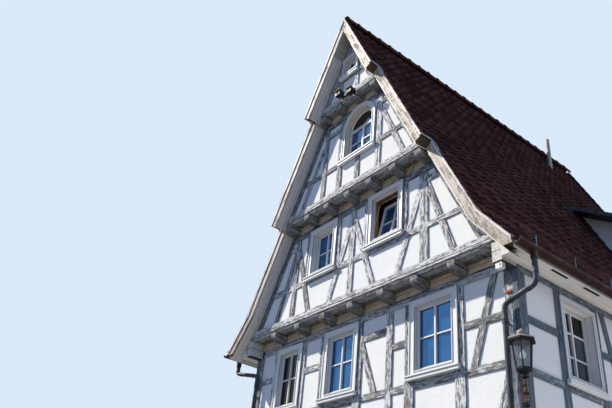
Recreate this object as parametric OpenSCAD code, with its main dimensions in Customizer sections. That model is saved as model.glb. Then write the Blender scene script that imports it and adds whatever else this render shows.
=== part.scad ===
// Half timbered house: masonry ground floor, one timber storey and a steep
// gable that steps forward over three jetties. Millimetres, Z up, the origin
// at the middle of the ground floor slab's underside, the gable facing -Y.

/* [Overall size] */
// Width of the gable wall, face to face
body_w = 7000; // [5800:100:8400]
// Depth from the front wall face to the back wall face
body_d = 7500; // [6400:100:9000]
// Height of the masonry ground floor, ground to first sill beam
ground_h = 3500; // [3100:50:4200]
// Height from the first sill beam to the first jetty's sill beam
storey_h = 2830; // [2600:10:3400]
// Height of the first gable storey, sill to sill
gable_1_h = 2360; // [2250:10:2800]
// Height of the second gable storey, sill to sill
gable_2_h = 2370; // [2250:10:2800]
// Height from the top sill beam to the tile line at the ridge
gable_3_h = 2410; // [2250:10:2900]

/* [Jetties] */
// Step of the first jetty in front of the storey below
jetty_1 = 300; // [200:10:400]
// Step of the second jetty
jetty_2 = 280; // [200:10:400]
// Step of the third jetty
jetty_3 = 190; // [120:10:300]
// Height of the floor joists
joist_h = 170; // [140:5:220]
// Width of the floor joists
joist_w = 160; // [120:5:200]
// How far the rounded joist ends stand out from the wall above
joist_nose = 35; // [10:5:60]
// Height of a sill beam
sill_h = 210; // [170:5:260]
// How far a sill beam's moulding stands out from its wall
sill_proud = 40; // [20:5:60]

/* [Timber frame] */
// Thickness of the timber walls
frame_t = 160; // [130:5:220]
// Depth of the plaster face behind the timber face
panel_set = 12; // [5:1:25]
// Width of a corner post
corner_w = 240; // [180:10:300]
// Width of a middle post
post_w = 150; // [110:5:190]
// How far a jamb post shows beside a window's surround
jamb_show = 105; // [60:5:140]
// Height of a rail
rail_h = 115; // [90:5:150]
// Width of a brace
brace_w = 130; // [100:5:170]
// Height of a wall plate
plate_h = 140; // [110:5:190]
// Width of the rafters that show in the gables
rafter_w = 150; // [120:5:190]

/* [Roof] */
// How far the tile line reaches past the side walls
eave_over = 440; // [380:10:560]
// Drop from a jetty's sill underside to the tile line at the eaves
eave_drop = 260; // [220:5:320]
// Length in plan of the shallow foot of the roof
kick_run = 660; // [500:10:800]
// Rise of the shallow foot of the roof
kick_rise = 780; // [650:10:850]
// Thickness of the roof, tile line to boarded underside
roof_t = 200; // [160:5:260]
// Thickness of the layer kept for the tiles
tile_t = 45; // [30:5:60]
// How far the verge stands out from each gable wall
verge_over = 280; // [220:10:360]
// How far the top verge stands out from the top wall
verge_over_top = 310; // [240:10:400]
// How much further out the top verge ends on the left slope than on the right
left_step = 100; // [0:10:150]
// How far the back verge stands out from the back wall
back_over = 400; // [250:10:500]
// Thickness of the verge boards
barge_t = 32; // [20:2:50]
// Height of the verge boards
barge_h = 190; // [150:5:240]
// Radius of the ridge tiles
ridge_r = 120; // [90:5:150]

/* [Windows and door] */
// Width of the flat surround round a window
band_w = 130; // [90:5:160]
// Thickness of the surround in front of the wall
band_t = 25; // [15:1:40]
// Thickness of the lining in a window opening
lining_t = 30; // [20:2:45]
// Width of the sash bars round the glass
sash_w = 42; // [30:2:60]
// Width of the bar down the middle of a sash
bar_w = 30; // [20:2:42]
// Thickness of a sash
sash_t = 40; // [30:2:55]
// Thickness of a pane
glass_t = 8; // [4:1:16]
// Height of a window sill board
board_h = 70; // [50:5:90]
// How far a window sill board stands out from the surround
board_out = 55; // [30:5:90]
// Height of the front windows above the first sill beam's underside
win_rise = 1300; // [1150:10:1400]
// Height of the side windows above it
side_win_rise = 1120; // [1000:10:1250]
// Height of the gable windows above their own sill beam's underside
gable_win_rise = 1030; // [900:10:1150]
// Height of the arched window above its sill beam's underside
arch_rise = 930; // [800:10:1050]
// Height of the small top window above its sill beam's underside
peak_rise = 850; // [780:10:950]
// Height of the ground floor windows above the ground
ground_win_rise = 1250; // [1000:10:1400]
// Width of a window of the first floor front
win_w = 820; // [700:10:950]
// Height of a window of the first floor
win_h = 1120; // [950:10:1250]
// Width of a gable window
gable_win_w = 690; // [560:10:800]
// Height of a gable window
gable_win_h = 950; // [800:10:1050]
// Width of the arched window
arch_w = 860; // [700:10:960]
// Height of the arched window up to where its arch springs
arch_h = 740; // [600:10:800]
// Width and height of the small window under the ridge
peak_win = 400; // [320:10:440]
// Width of a side window
side_win_w = 780; // [650:10:900]
// Lean of the open sash in the gable
sash_lean = 12; // [0:1:18]
// Width of the entrance door
door_w = 1000; // [850:10:1150]
// Height of the entrance door
door_h = 2100; // [1950:10:2300]

/* [Masonry] */
// Thickness of the ground floor walls
wall_t = 400; // [300:10:550]
// Height of the stone plinth
plinth_h = 450; // [300:10:600]
// How far the plinth stands out from the wall
plinth_out = 35; // [20:5:60]
// Thickness of the ground floor slab
slab_t = 180; // [150:10:250]

/* [Fittings] */
// Radius of the gutters
gutter_r = 75; // [60:1:90]
// Radius of the downpipes
pipe_r = 38; // [32:1:50]
// Width of the dormer in the right roof slope
dormer_w = 1700; // [1400:50:1900]
// Radius of the flue pipe
flue_r = 52; // [40:1:80]
// Height of the flue pipe over the roof
flue_h = 1000; // [700:10:1200]
// Height of the snow guard
guard_h = 280; // [200:10:320]
// Width across the lantern's roof
lamp_w = 400; // [320:10:440]
// Width of each small lamp in front of the top sill
spot_w = 170; // [120:10:200]

/* [Hidden] */

timber = [0.52, 0.52, 0.52];
plaster = [0.93, 0.93, 0.91];
paint = [0.90, 0.90, 0.88];
tiles = [0.25, 0.14, 0.12];
stone = [0.60, 0.57, 0.52];
copper = [0.30, 0.19, 0.15];
zinc = [0.36, 0.39, 0.42];
iron = [0.08, 0.08, 0.09];
pane = [0.45, 0.55, 0.65, 0.5];

half_w = body_w / 2;
front_y = -body_d / 2;
back_y = body_d / 2;
// One of the fourteen bays that set out the front
bay = body_w / 14;

// Undersides of the four sill beams
sill_0 = ground_h;
sill_1 = sill_0 + storey_h;
sill_2 = sill_1 + gable_1_h;
sill_3 = sill_2 + gable_2_h;
ridge_z = sill_3 + gable_3_h;

// Outer faces of the gable walls, and the verge faces in front of them
face_1 = front_y - jetty_1;
face_2 = face_1 - jetty_2;
face_3 = face_2 - jetty_3;
verge_1 = face_1 - verge_over;
verge_2 = face_2 - verge_over;
verge_3 = face_3 - verge_over_top;
verge_b = back_y + back_over;

// Tile line: a steep slope, then a shallower foot over the eaves
eave_x = half_w + eave_over;
eave_z = sill_1 - eave_drop;
kink_x = eave_x - kick_run;
kink_z = eave_z + kick_rise;
steep = (ridge_z - kink_z) / kink_x;
foot = kick_rise / kick_run;
steep_n = sqrt(1 + steep * steep);
foot_n = sqrt(1 + foot * foot);

// Height of a line that lies a depth under the tile line
function line_z(x, depth) = max(
    ridge_z - steep * abs(x) - depth * steep_n,
    kink_z - foot * (abs(x) - kink_x) - depth * foot_n);
// Where that line bends, and where it comes down to a height
function bend_x(depth) = (ridge_z - kink_z - foot * kink_x
    - depth * (steep_n - foot_n)) / (steep - foot);
function reach_x(z, depth) = max(
    (ridge_z - depth * steep_n - z) / steep,
    kink_x + (kink_z - depth * foot_n - z) / foot);
// A point a depth under the tile line, square to the steep slope
function square_pt(x, depth) = [x - depth * steep / steep_n,
    ridge_z - steep * x - depth / steep_n];

// Eaves: the level soffit, the small upright edge of the slope, the fascia
soffit_t = 20;
soffit_drop = 280;
soffit_z = sill_1 - soffit_drop;
soffit_top = soffit_z + soffit_t;
tip_h = 20;
tip_x = reach_x(soffit_top + tip_h, tile_t);
fascia_t = 22;
gutter_x = tip_x + fascia_t + gutter_r;
gutter_z = soffit_top + 5;

// Where the two upper verges stop, each a little above its jetty's sill beam
step_rise_2 = 15;
step_rise_3 = 190;
step_2 = (ridge_z - (sill_2 + step_rise_2)) / steep;
// s is -1 on the left, where the top verge runs further down
function step_3(s) = (ridge_z - (sill_3 + step_rise_3)) / steep + (s < 0 ? left_step : 0);

plate_low = sill_1 - joist_h - plate_h;
hole_pad = lining_t;

// A window: centre, bottom, width, height, depth of the sash behind the
// surround's face, width of the surround, arched or not
function win(cx, z, w, h, set, band, arch) = [cx, z, w, h, set, band, arch];
front_set = 60;
deep_set = 140;
ground_set = 150;
gable_band = 120;
arch_band = 100;
peak_band = 70;
side_band = 80;
side_pitch = back_y - 1460;
storey_win_z = sill_0 + win_rise;
win_a = win(-4.5 * bay, storey_win_z, win_w - 180, win_h, front_set, band_w, false);
win_b = win(-1.13 * bay, storey_win_z, win_w - 50, win_h, front_set, band_w, false);
win_c = win(3.62 * bay, storey_win_z, win_w, win_h, front_set, band_w, false);
front_wins = [win_a, win_b, win_c];
gable_win_z = sill_1 + gable_win_rise;
win_d = win(-2.08 * bay, gable_win_z, gable_win_w, gable_win_h, deep_set, gable_band, false);
win_e = win(1.74 * bay, gable_win_z + 60, gable_win_w + 50, gable_win_h, deep_set,
    gable_band, false);
win_f = win(0.48 * bay, sill_2 + arch_rise, arch_w, arch_h, deep_set - 10, arch_band, true);
win_g = win(0.03 * bay, sill_3 + peak_rise, peak_win, peak_win + 50, deep_set - 20,
    peak_band, false);
side_wins = [for (k = [-1, 0, 1])
    win(k * side_pitch, sill_0 + side_win_rise, side_win_w, win_h + 60, deep_set, side_band,
        false)];
ground_wins = [for (x = [-4.5 * bay, 3.62 * bay])
    win(x, ground_win_rise, win_w, win_h, ground_set, band_w, false)];
ground_side_wins = [for (k = [-1, 0, 1])
    win(k * side_pitch, ground_win_rise, side_win_w, win_h, ground_set, band_w, false)];
door_x = -1.13 * bay;

// Outlines of windows, drawn in the wall's own plane
module opening_2d(w, grow) {
    if (w[6]) {
        translate([w[0] - w[2] / 2 - grow, w[1] - grow])
            square([w[2] + 2 * grow, w[3] + grow]);
        translate([w[0], w[1] + w[3]])
            circle(r = w[2] / 2 + grow, $fn = 64);
    }
    else
        translate([w[0] - w[2] / 2 - grow, w[1] - grow])
            square([w[2] + 2 * grow, w[3] + 2 * grow]);
}
module holes_2d(list) {
    for (w = list)
        opening_2d(w, hole_pad);
}

// Timbers, drawn in the wall's own plane
module post_2d(x, w, z0, z1) {
    translate([x - w / 2, z0]) square([w, z1 - z0]);
}
module rail_2d(x0, x1, z) {
    translate([x0, z - rail_h / 2]) square([x1 - x0, rail_h]);
}
module brace_2d(x0, z0, x1, z1, w) {
    run = sqrt(pow(x1 - x0, 2) + pow(z1 - z0, 2));
    translate([x0, z0])
        rotate(atan2(z1 - z0, x1 - x0))
            translate([0, -w / 2])
                square([run, w]);
}
// A post with a leaning brace on each side of its head
module figure_2d(x, w, z0, z1, spread, head) {
    post_2d(x, w, z0, z1);
    for (s = [-1, 1])
        brace_2d(x + s * spread, z0 - brace_w, x + s * w / 4, head, brace_w);
}
// Jamb posts that show beside a window's surround
module jambs_2d(list, z0, z1) {
    for (w = list)
        for (s = [-1, 1]) {
            inner = w[2] / 2 + hole_pad;
            outer = w[2] / 2 + w[5] + jamb_show;
            post_2d(w[0] + s * (inner + outer) / 2, outer - inner, z0, z1);
        }
}
// The space under the roof between two heights
module under_roof_2d(z0, z1) {
    b = bend_x(roof_t);
    bz = line_z(b, roof_t);
    top = min(z1, line_z(0, roof_t));
    side = [for (p = [[reach_x(z0, roof_t), z0], [b, bz], [reach_x(top, roof_t), top]])
        if (p[1] == z0 || p[1] == top || (bz > z0 && bz < top)) p];
    polygon(concat(side, [for (k = [len(side) - 1 : -1 : 0])
        if (side[k][0] > 0.01) opposite(side[k])]));
}
module rafters_2d() {
    low_x = kink_x + 400;
    half = [[0, line_z(0, roof_t)], square_pt(low_x, roof_t),
        square_pt(low_x, roof_t + rafter_w), [0, line_z(0, roof_t + rafter_w)]];
    polygon(concat(half, [opposite(half[2]), opposite(half[1])]));
}
function opposite(p) = [-p[0], p[1]];

// A plate standing in the plane of the front: outer face at y, thickness t
module stand_front(y, t) {
    translate([0, y + t, 0]) rotate([90, 0, 0]) linear_extrude(t) children();
}
// The same on the back, drawn as seen from the front
module stand_back(y, t) {
    translate([0, y, 0]) rotate([90, 0, 0]) linear_extrude(t) children();
}
// The same on a side: s is -1 on the left and 1 on the right
module stand_side(s, x, t) {
    translate([s > 0 ? x - t : -x, 0, 0])
        rotate([90, 0, 90]) linear_extrude(t) children();
}

// Ground floor
module ground_slab() {
    color(stone)
        translate([-half_w + wall_t, front_y + wall_t, 0])
            cube([body_w - 2 * wall_t, body_d - 2 * wall_t, slab_t]);
}
door_trim = 100;
door_side = door_w / 2 + lining_t + door_trim;
step_run = 350;
module plinth() {
    step_w = door_w + 500;
    color(stone) {
        difference() {
            translate([-half_w - plinth_out, front_y - plinth_out, 0])
                cube([body_w + 2 * plinth_out, body_d + 2 * plinth_out, plinth_h]);
            translate([-half_w, front_y, -1])
                cube([body_w, body_d, plinth_h + 2]);
            translate([door_x - door_side, front_y - 200, slab_t])
                cube([2 * door_side, 400, plinth_h]);
        }
        translate([door_x - step_w / 2, front_y - plinth_out - step_run, 0])
            cube([step_w, step_run, slab_t - 20]);
    }
}
module ground_wall_2d(x0, x1) {
    translate([x0, 0]) square([x1 - x0, ground_h - joist_h]);
}
module door_2d(grow) {
    translate([door_x - door_w / 2 - grow, slab_t])
        square([door_w + 2 * grow, door_h + grow]);
}
module ground_wall_front() {
    color(plaster)
        stand_front(front_y, wall_t)
            difference() {
                ground_wall_2d(-half_w, half_w);
                holes_2d(ground_wins);
                door_2d(lining_t);
            }
}
module ground_wall_back() {
    color(plaster)
        stand_back(back_y, wall_t)
            difference() {
                ground_wall_2d(-half_w, half_w);
                holes_2d(ground_wins);
            }
}
module ground_wall_side(s) {
    color(plaster)
        stand_side(s, half_w, wall_t)
            difference() {
                ground_wall_2d(front_y + wall_t, back_y - wall_t);
                holes_2d(ground_side_wins);
            }
}
// Trim and frame, and a leaf of stiles and rails round two set-back panels
door_frame_t = 200;
leaf_y = front_y + 110;
leaf_t = 55;
stile_w = 140;
module entrance_door() {
    color(timber) {
        stand_front(front_y - band_t, band_t)
            difference() {
                door_2d(lining_t + door_trim);
                door_2d(0);
            }
        stand_front(front_y, door_frame_t)
            difference() {
                door_2d(lining_t);
                door_2d(0);
            }
        stand_front(leaf_y, leaf_t)
            difference() {
                door_2d(0);
                for (k = [0, 1])
                    translate([door_x - door_w / 2 + stile_w,
                        slab_t + stile_w + 40 + k * (door_h / 2 - 60)])
                        square([door_w - 2 * stile_w, door_h / 2 - 2 * stile_w + 20]);
            }
        stand_front(leaf_y + 15, leaf_t - 30)
            door_2d(-20);
    }
}

// Floors: joists from front to back, boards on them, blocks between their ends
floor_board = 40;
board_gap = 12;
block_t = 90;
// A joist with its lower front edge rounded
nose_share = 0.62;
module joist(x, low, y0, y1) {
    nose = joist_h * nose_share;
    translate([x + joist_w / 2, 0, low])
        rotate([90, 0, -90])
            linear_extrude(joist_w)
                difference() {
                    translate([-y1, 0]) square([y1 - y0, joist_h]);
                    translate([-y0 - nose, 0])
                        difference() {
                            square([nose + 1, nose]);
                            translate([0, nose]) circle(r = nose, $fn = 40);
                        }
                }
}
module floor_of(sill, face, outer_y0, wall_y, y1, reach, gaps) {
    pitch_x = 2 * reach / gaps;
    low = sill - joist_h;
    color(timber) {
        for (k = [0 : gaps])
            joist(-reach + k * pitch_x, low,
                k == 0 || k == gaps ? outer_y0 : face - joist_nose, y1);
        translate([-reach, wall_y, low])
            cube([2 * reach, block_t, joist_h]);
        translate([-reach - joist_w / 2, face + frame_t, sill])
            cube([2 * reach + joist_w, y1 - face - frame_t, floor_board]);
    }
}
module first_floor() {
    low = sill_0 - joist_h;
    reach = half_w - joist_w / 2;
    color(timber) {
        for (k = [0 : 8])
            translate([-reach + k * reach / 4 - joist_w / 2, front_y, low])
                cube([joist_w, body_d, joist_h]);
        for (y = [front_y + 20, back_y - block_t - 20])
            translate([-reach, y, low]) cube([2 * reach, block_t, joist_h]);
        translate([-half_w + frame_t + board_gap, front_y + frame_t, sill_0])
            cube([body_w - 2 * (frame_t + board_gap), body_d - 2 * frame_t, floor_board]);
    }
}
// How far out the joists stand, each floor's boards kept clear of the roof's underside
board_top = floor_board + 20;
joist_reach_1 = half_w - 170;
function joist_reach(sill) =
    floor((reach_x(sill + board_top, roof_t) - joist_w / 2 - 20) / 10) * 10;
joist_reach_2 = joist_reach(sill_2);
joist_reach_3 = joist_reach(sill_3);
module attic_floor() {
    floor_of(sill_1, face_1, front_y, front_y, back_y - frame_t, joist_reach_1, 8);
}
module upper_attic_floor() {
    floor_of(sill_2, face_2, face_2 - joist_nose, face_1, back_y - frame_t, joist_reach_2, 6);
}
module top_attic_floor() {
    floor_of(sill_3, face_3, face_3 - joist_nose, face_2, back_y - frame_t, joist_reach_3, 3);
}

// Walls of the first floor
module storey_field_2d(x0, x1) {
    translate([x0, sill_0]) square([x1 - x0, sill_1 - joist_h - sill_0]);
}
breast_z = storey_win_z - 230;
side_breast_z = storey_win_z - 365;
module storey_front_2d() {
    top = sill_1 - joist_h;
    intersection() {
        storey_field_2d(-half_w, half_w);
        union() {
            translate([-half_w, sill_0]) square([body_w, sill_h]);
            translate([-half_w, top - plate_h]) square([body_w, plate_h]);
            for (s = [-1, 1])
                post_2d(s * (half_w - corner_w / 2), corner_w, sill_0, top);
            jambs_2d(front_wins, sill_0, top);
            post_2d(1.55 * bay, post_w, sill_0, top);
            rail_2d(-half_w, half_w, breast_z);
            rail_2d(-half_w, win_a[0], storey_win_z + 640);
            rail_2d(win_a[0], win_b[0], storey_win_z + 620);
            rail_2d(win_b[0], 1.55 * bay, storey_win_z + 870);
            rail_2d(1.55 * bay, win_c[0], storey_win_z + 540);
            rail_2d(win_c[0], half_w, storey_win_z + 510);
            brace_2d(-0.1 * bay, storey_win_z + 980, 0.85 * bay, breast_z, brace_w);
            brace_2d(6.25 * bay, top, 5.2 * bay, breast_z, brace_w);
            brace_2d(-6.6 * bay, breast_z, -5.9 * bay, sill_0, brace_w);
            brace_2d(6.6 * bay, breast_z, 5.9 * bay, sill_0, brace_w);
        }
    }
}
module storey_frame_of(y) {
    color(timber)
        stand_front(y, frame_t)
            difference() {
                storey_front_2d();
                holes_2d(front_wins);
            }
}
module storey_panels_of(y) {
    color(plaster)
        stand_front(y + panel_set, frame_t - 2 * panel_set)
            difference() {
                storey_field_2d(-half_w, half_w);
                storey_front_2d();
                holes_2d(front_wins);
            }
}
side_y0 = front_y + frame_t;
side_y1 = back_y - frame_t;
module storey_side_2d() {
    top = sill_1 - joist_h;
    intersection() {
        storey_field_2d(side_y0, side_y1);
        union() {
            translate([side_y0, sill_0]) square([side_y1 - side_y0, sill_h]);
            translate([side_y0, top - plate_h - 60])
                square([side_y1 - side_y0, plate_h + 60]);
            jambs_2d(side_wins, sill_0, top);
            rail_2d(side_y0, side_y1, side_breast_z);
            rail_2d(side_y0, side_y1, storey_win_z + 420);
            for (s = [-1, 1]) {
                post_2d(s * body_d / 4.2, post_w, sill_0, top);
                brace_2d(s * (back_y - 2130), top, s * (back_y - 2500), side_breast_z, brace_w);
                brace_2d(s * 500, top, s * 850, side_breast_z, brace_w);
            }
        }
    }
}
module storey_frame_side(s) {
    x1 = half_w;
    x0 = half_w - 90;
    top = sill_1 - joist_h;
    color(timber) {
        stand_side(s, half_w, frame_t)
            difference() {
                storey_side_2d();
                holes_2d(side_wins);
            }
        // Eaves beam on the wall, its top cut to the roof's slope
        translate([0, back_y - frame_t, 0])
            rotate([90, 0, 0])
                linear_extrude(body_d - frame_t)
                    polygon([[s * x0, top], [s * x1, top],
                        [s * x1, line_z(x1, roof_t)], [s * x0, line_z(x0, roof_t)]]);
    }
}
module storey_panels_side(s) {
    color(plaster)
        stand_side(s, half_w - panel_set, frame_t - 2 * panel_set)
            difference() {
                storey_field_2d(side_y0, side_y1);
                storey_side_2d();
                holes_2d(side_wins);
            }
}

// A sill beam with its moulded lower edge, face at y
module moulded_sill(y, low, reach) {
    cove = 46;
    difference() {
        translate([-reach, y - sill_proud, low])
            cube([2 * reach, frame_t + sill_proud, sill_h]);
        translate([-reach - 1, y - sill_proud, low])
            rotate([0, 90, 0])
                cylinder(r = cove, h = 2 * reach + 2, $fn = 40);
        translate([-reach - 1, y - sill_proud - 1, low + 85])
            cube([2 * reach + 2, 13, 14]);
        translate([-reach - 1, y - sill_proud - 1, low + sill_h - 20])
            cube([2 * reach + 2, sill_proud - 9, 21]);
    }
}

// Gable storeys: drawn frame, less the windows, under the roof
module gable_frame(y, low, high, list, reach) {
    stand_front(y, frame_t)
        difference() {
            intersection() {
                under_roof_2d(low + sill_h - 1, high);
                children();
            }
            holes_2d(list);
        }
    intersection() {
        moulded_sill(y, low, reach);
        stand_front(y - 100, frame_t + 200) under_roof_2d(low, low + sill_h);
    }
}
module gable_panels(y, low, high, list) {
    stand_front(y + panel_set, frame_t - 2 * panel_set)
        difference() {
            under_roof_2d(low + sill_h, high);
            children();
            holes_2d(list);
        }
}
module gable_lower_2d() {
    high = sill_2 - joist_h;
    rail_z = gable_win_z - 130;
    rafters_2d();
    translate([-half_w, high - plate_h]) square([body_w, plate_h]);
    rail_2d(-half_w, half_w, rail_z);
    jambs_2d([win_d, win_e], rail_z, high);
    figure_2d(-3.9 * bay, post_w, sill_1, high, 1.36 * bay, sill_1 + 1800);
    figure_2d(-0.16 * bay, post_w, sill_1, high, 1.56 * bay, sill_1 + 1850);
    figure_2d(3.76 * bay, post_w + 40, sill_1, high, 1.56 * bay, sill_1 + 1850);
    for (s = [-1, 1])
        rail_2d(s > 0 ? 3.76 * bay : -half_w, s > 0 ? half_w : -3.9 * bay, sill_1 + 1870);
}
module gable_frame_lower() {
    color(timber)
        gable_frame(face_1, sill_1, sill_2 - joist_h, [win_d, win_e], half_w)
            gable_lower_2d();
}
module gable_panels_lower() {
    color(plaster)
        gable_panels(face_1, sill_1, sill_2 - joist_h, [win_d, win_e])
            gable_lower_2d();
}
module gable_middle_2d() {
    high = sill_3 - joist_h;
    rail_z = sill_2 + 860;
    rafters_2d();
    translate([-half_w, high - plate_h]) square([body_w, plate_h]);
    rail_2d(-half_w, half_w, rail_z);
    post_2d(-1.75 * bay, post_w - 20, sill_2, high);
    post_2d(-0.68 * bay, post_w, sill_2, high);
    post_2d(1.76 * bay, post_w, sill_2, high);
    post_2d(0.5 * bay, post_w - 20, sill_2, rail_z);
    for (s = [-1, 1])
        brace_2d(s * 3.25 * bay, sill_2 + sill_h - 60, s * 1.95 * bay, sill_2 + 1600, brace_w - 15);
    rail_2d(-1.75 * bay, -0.68 * bay, sill_2 + 1850);
    rail_2d(1.76 * bay, 3 * bay, sill_2 + 1850);
}
module gable_frame_middle() {
    color(timber)
        gable_frame(face_2, sill_2, sill_3 - joist_h, [win_f], half_w)
            gable_middle_2d();
}
module gable_panels_middle() {
    color(plaster)
        gable_panels(face_2, sill_2, sill_3 - joist_h, [win_f])
            gable_middle_2d();
}
module gable_upper_2d() {
    rafters_2d();
    rail_2d(-half_w, half_w, sill_3 + 720);
    rail_2d(-half_w, half_w, sill_3 + 1450);
    for (s = [-1, 1])
        post_2d(s * 0.55 * bay, post_w - 40, sill_3, sill_3 + 1450);
}
module gable_frame_upper() {
    color(timber)
        gable_frame(face_3, sill_3, ridge_z, [win_g], half_w)
            gable_upper_2d();
}
module gable_panels_upper() {
    color(plaster)
        gable_panels(face_3, sill_3, ridge_z, [win_g])
            gable_upper_2d();
}

// Back gable: the same storeys in one plane, without jetties
storey_top = sill_1 - joist_h;
module back_field_2d(z0, z1) {
    intersection() {
        under_roof_2d(z0, z1);
        translate([-half_w, z0]) square([body_w, z1 - z0]);
    }
}
module back_band_2d(z0, z1, list) {
    difference() {
        intersection() {
            back_field_2d(z0, z1);
            union() {
                translate([-half_w, z0]) square([body_w, joist_h + sill_h]);
                children();
            }
        }
        holes_2d(list);
    }
}
module back_gable_frame() {
    color(timber) {
        stand_back(back_y, frame_t)
            back_band_2d(storey_top, sill_2 - joist_h, [win_d, win_e]) gable_lower_2d();
        stand_back(back_y, frame_t)
            back_band_2d(sill_2 - joist_h, sill_3 - joist_h, [win_f]) gable_middle_2d();
        stand_back(back_y, frame_t)
            back_band_2d(sill_3 - joist_h, ridge_z, [win_g]) gable_upper_2d();
    }
}
module back_infill(z0, z1, list) {
    stand_back(back_y - panel_set, frame_t - 2 * panel_set)
        difference() {
            under_roof_2d(z0 + joist_h + sill_h, z1);
            children();
            holes_2d(list);
        }
}
module back_gable_panels() {
    color(plaster) {
        back_infill(storey_top, sill_2 - joist_h, [win_d, win_e]) gable_lower_2d();
        back_infill(sill_2 - joist_h, sill_3 - joist_h, [win_f]) gable_middle_2d();
        back_infill(sill_3 - joist_h, ridge_z, [win_g]) gable_upper_2d();
    }
}

// Roof slopes, with the upper verges reaching further forward
module slope_2d() {
    b0 = bend_x(tile_t);
    b1 = bend_x(roof_t);
    polygon([[0, line_z(0, tile_t)], [b0, line_z(b0, tile_t)],
        [tip_x, soffit_top + tip_h], [tip_x, soffit_top],
        [reach_x(soffit_top, roof_t), soffit_top],
        [b1, line_z(b1, roof_t)], [0, line_z(0, roof_t)]]);
}
module strip_2d(x0, x1, top, under) {
    polygon([x0 == 0 ? [0, line_z(0, top)] : square_pt(x0, top),
        square_pt(x1, top), square_pt(x1, under),
        x0 == 0 ? [0, line_z(0, under)] : square_pt(x0, under)]);
}
module along_y(y0, y1) {
    translate([0, y1, 0]) rotate([90, 0, 0]) linear_extrude(y1 - y0) children();
}
module roof_slope(s) {
    along_y(verge_1 + barge_t, verge_b - barge_t) slope_2d();
    along_y(verge_2 + barge_t, verge_1 + barge_t) strip_2d(0, step_2, tile_t, roof_t);
    along_y(verge_3 + barge_t, verge_2 + barge_t) strip_2d(0, step_3(s), tile_t, roof_t);
}
dormer_y0 = front_y + 5200;
dormer_y1 = dormer_y0 + dormer_w;
dormer_head = 1690;
dormer_fall = 0.63;
dormer_x = kink_x - 230;
dormer_t = 108;
dormer_wall = 110;
dormer_side = 460;
// Top of the dormer roof, and its underside
function dormer_z(x) = ridge_z - steep * dormer_head - dormer_fall * (x - dormer_head);
function dormer_under(x) = dormer_z(x) - dormer_t;
dormer_win_w = dormer_w - 2 * dormer_wall - 380;
dormer_win = win((dormer_y0 + dormer_y1) / 2, dormer_under(dormer_x) - 1080,
    dormer_win_w, 800, 80, 60, false);
module roof_left() {
    color(tiles) mirror([1, 0, 0]) roof_slope(-1);
}
module roof_right() {
    z0 = line_z(dormer_x, 0);
    color(tiles)
        difference() {
            roof_slope(1);
            translate([dormer_x - 950, dormer_y0 + 100, z0 - 100])
                cube([850, dormer_w - 200, 2400]);
        }
}
module ridge_cap() {
    z = line_z(0, tile_t);
    color(tiles)
        along_y(verge_3 + barge_t, verge_b - barge_t)
            difference() {
                union() {
                    translate([0, ridge_z - 60]) circle(r = ridge_r, $fn = 48);
                    translate([-ridge_r, ridge_z - 60 - 2 * ridge_r])
                        square([2 * ridge_r, 2 * ridge_r]);
                }
                polygon([[0, z], [ridge_r * 3, line_z(ridge_r * 3, tile_t)],
                    [-ridge_r * 3, line_z(ridge_r * 3, tile_t)]]);
            }
}

// Verge boards: a board with a cap strip, mirrored on both slopes
module both_sides() {
    children();
    mirror([1, 0, 0]) children();
}
module on_side(s) {
    if (s > 0)
        children();
    else
        mirror([1, 0, 0]) children();
}
module foot_strip_2d(top, under) {
    b0 = bend_x(top);
    b1 = bend_x(under);
    x_end = tip_x;
    polygon([square_pt(step_2, top), [b0, line_z(b0, top)],
        [x_end, line_z(x_end, top)], [x_end, max(soffit_z, line_z(x_end, under))],
        [min(x_end, reach_x(soffit_z, under)), max(soffit_z, line_z(x_end, under))],
        [b1, line_z(b1, under)], square_pt(step_2, under)]);
}
cap_out = 18;
cap_h = 50;
module verge_upper() {
    color(paint)
        for (s = [-1, 1])
            on_side(s) {
                along_y(verge_3, verge_3 + barge_t) strip_2d(0, step_3(s), 0, barge_h);
                along_y(verge_3 - cap_out, verge_3) strip_2d(0, step_3(s), 0, cap_h);
            }
}
module verge_middle() {
    color(paint)
        for (s = [-1, 1])
            on_side(s) {
                along_y(verge_2, verge_2 + barge_t) strip_2d(step_3(s), step_2, 0, barge_h);
                along_y(verge_2 - cap_out, verge_2) strip_2d(step_3(s), step_2, 0, cap_h);
            }
}
module verge_lower() {
    color(paint)
        both_sides() {
            along_y(verge_1, verge_1 + barge_t) foot_strip_2d(0, barge_h);
            along_y(verge_1 - cap_out, verge_1) foot_strip_2d(0, cap_h);
        }
}
module verge_back() {
    color(paint)
        both_sides()
            along_y(verge_b - barge_t, verge_b) {
                strip_2d(0, step_2, 0, barge_h);
                foot_strip_2d(0, barge_h);
            }
}

// Boxed eaves with vent slots, an end board in front, and the beam end at the corner
slot_w = 420;
slot_pitch = 830;
beam_end_w = 180;
beam_end_h = 330;
module eaves(s) {
    y0 = verge_1 + barge_t;
    y1 = verge_b - barge_t;
    box_y = face_1 - joist_nose - 25;
    inner_x = reach_x(soffit_top, roof_t);
    slots = floor((y1 - front_y - 500) / slot_pitch);
    color(paint)
        on_side(s) {
            difference() {
                translate([half_w, box_y, soffit_z])
                    cube([tip_x - half_w, y1 - box_y, soffit_t]);
                for (k = [0 : slots])
                    translate([tip_x - 130, front_y + 480 + k * slot_pitch, soffit_z - 1])
                        cube([60, slot_w, soffit_t + 2]);
            }
            along_y(box_y, box_y + fascia_t)
                polygon([[half_w, soffit_z], [inner_x, soffit_z], [inner_x, soffit_top],
                    [half_w, line_z(half_w, roof_t)]]);
            translate([tip_x, y0, soffit_z - 60])
                cube([fascia_t, y1 - y0, soffit_t + 80]);
            along_y(face_1 - joist_nose, front_y)
                polygon([[half_w - beam_end_w, sill_1 - beam_end_h],
                    [half_w, sill_1 - beam_end_h], [half_w, line_z(half_w, roof_t)],
                    [reach_x(sill_1, roof_t), sill_1], [half_w - beam_end_w, sill_1]]);
        }
}
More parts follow.
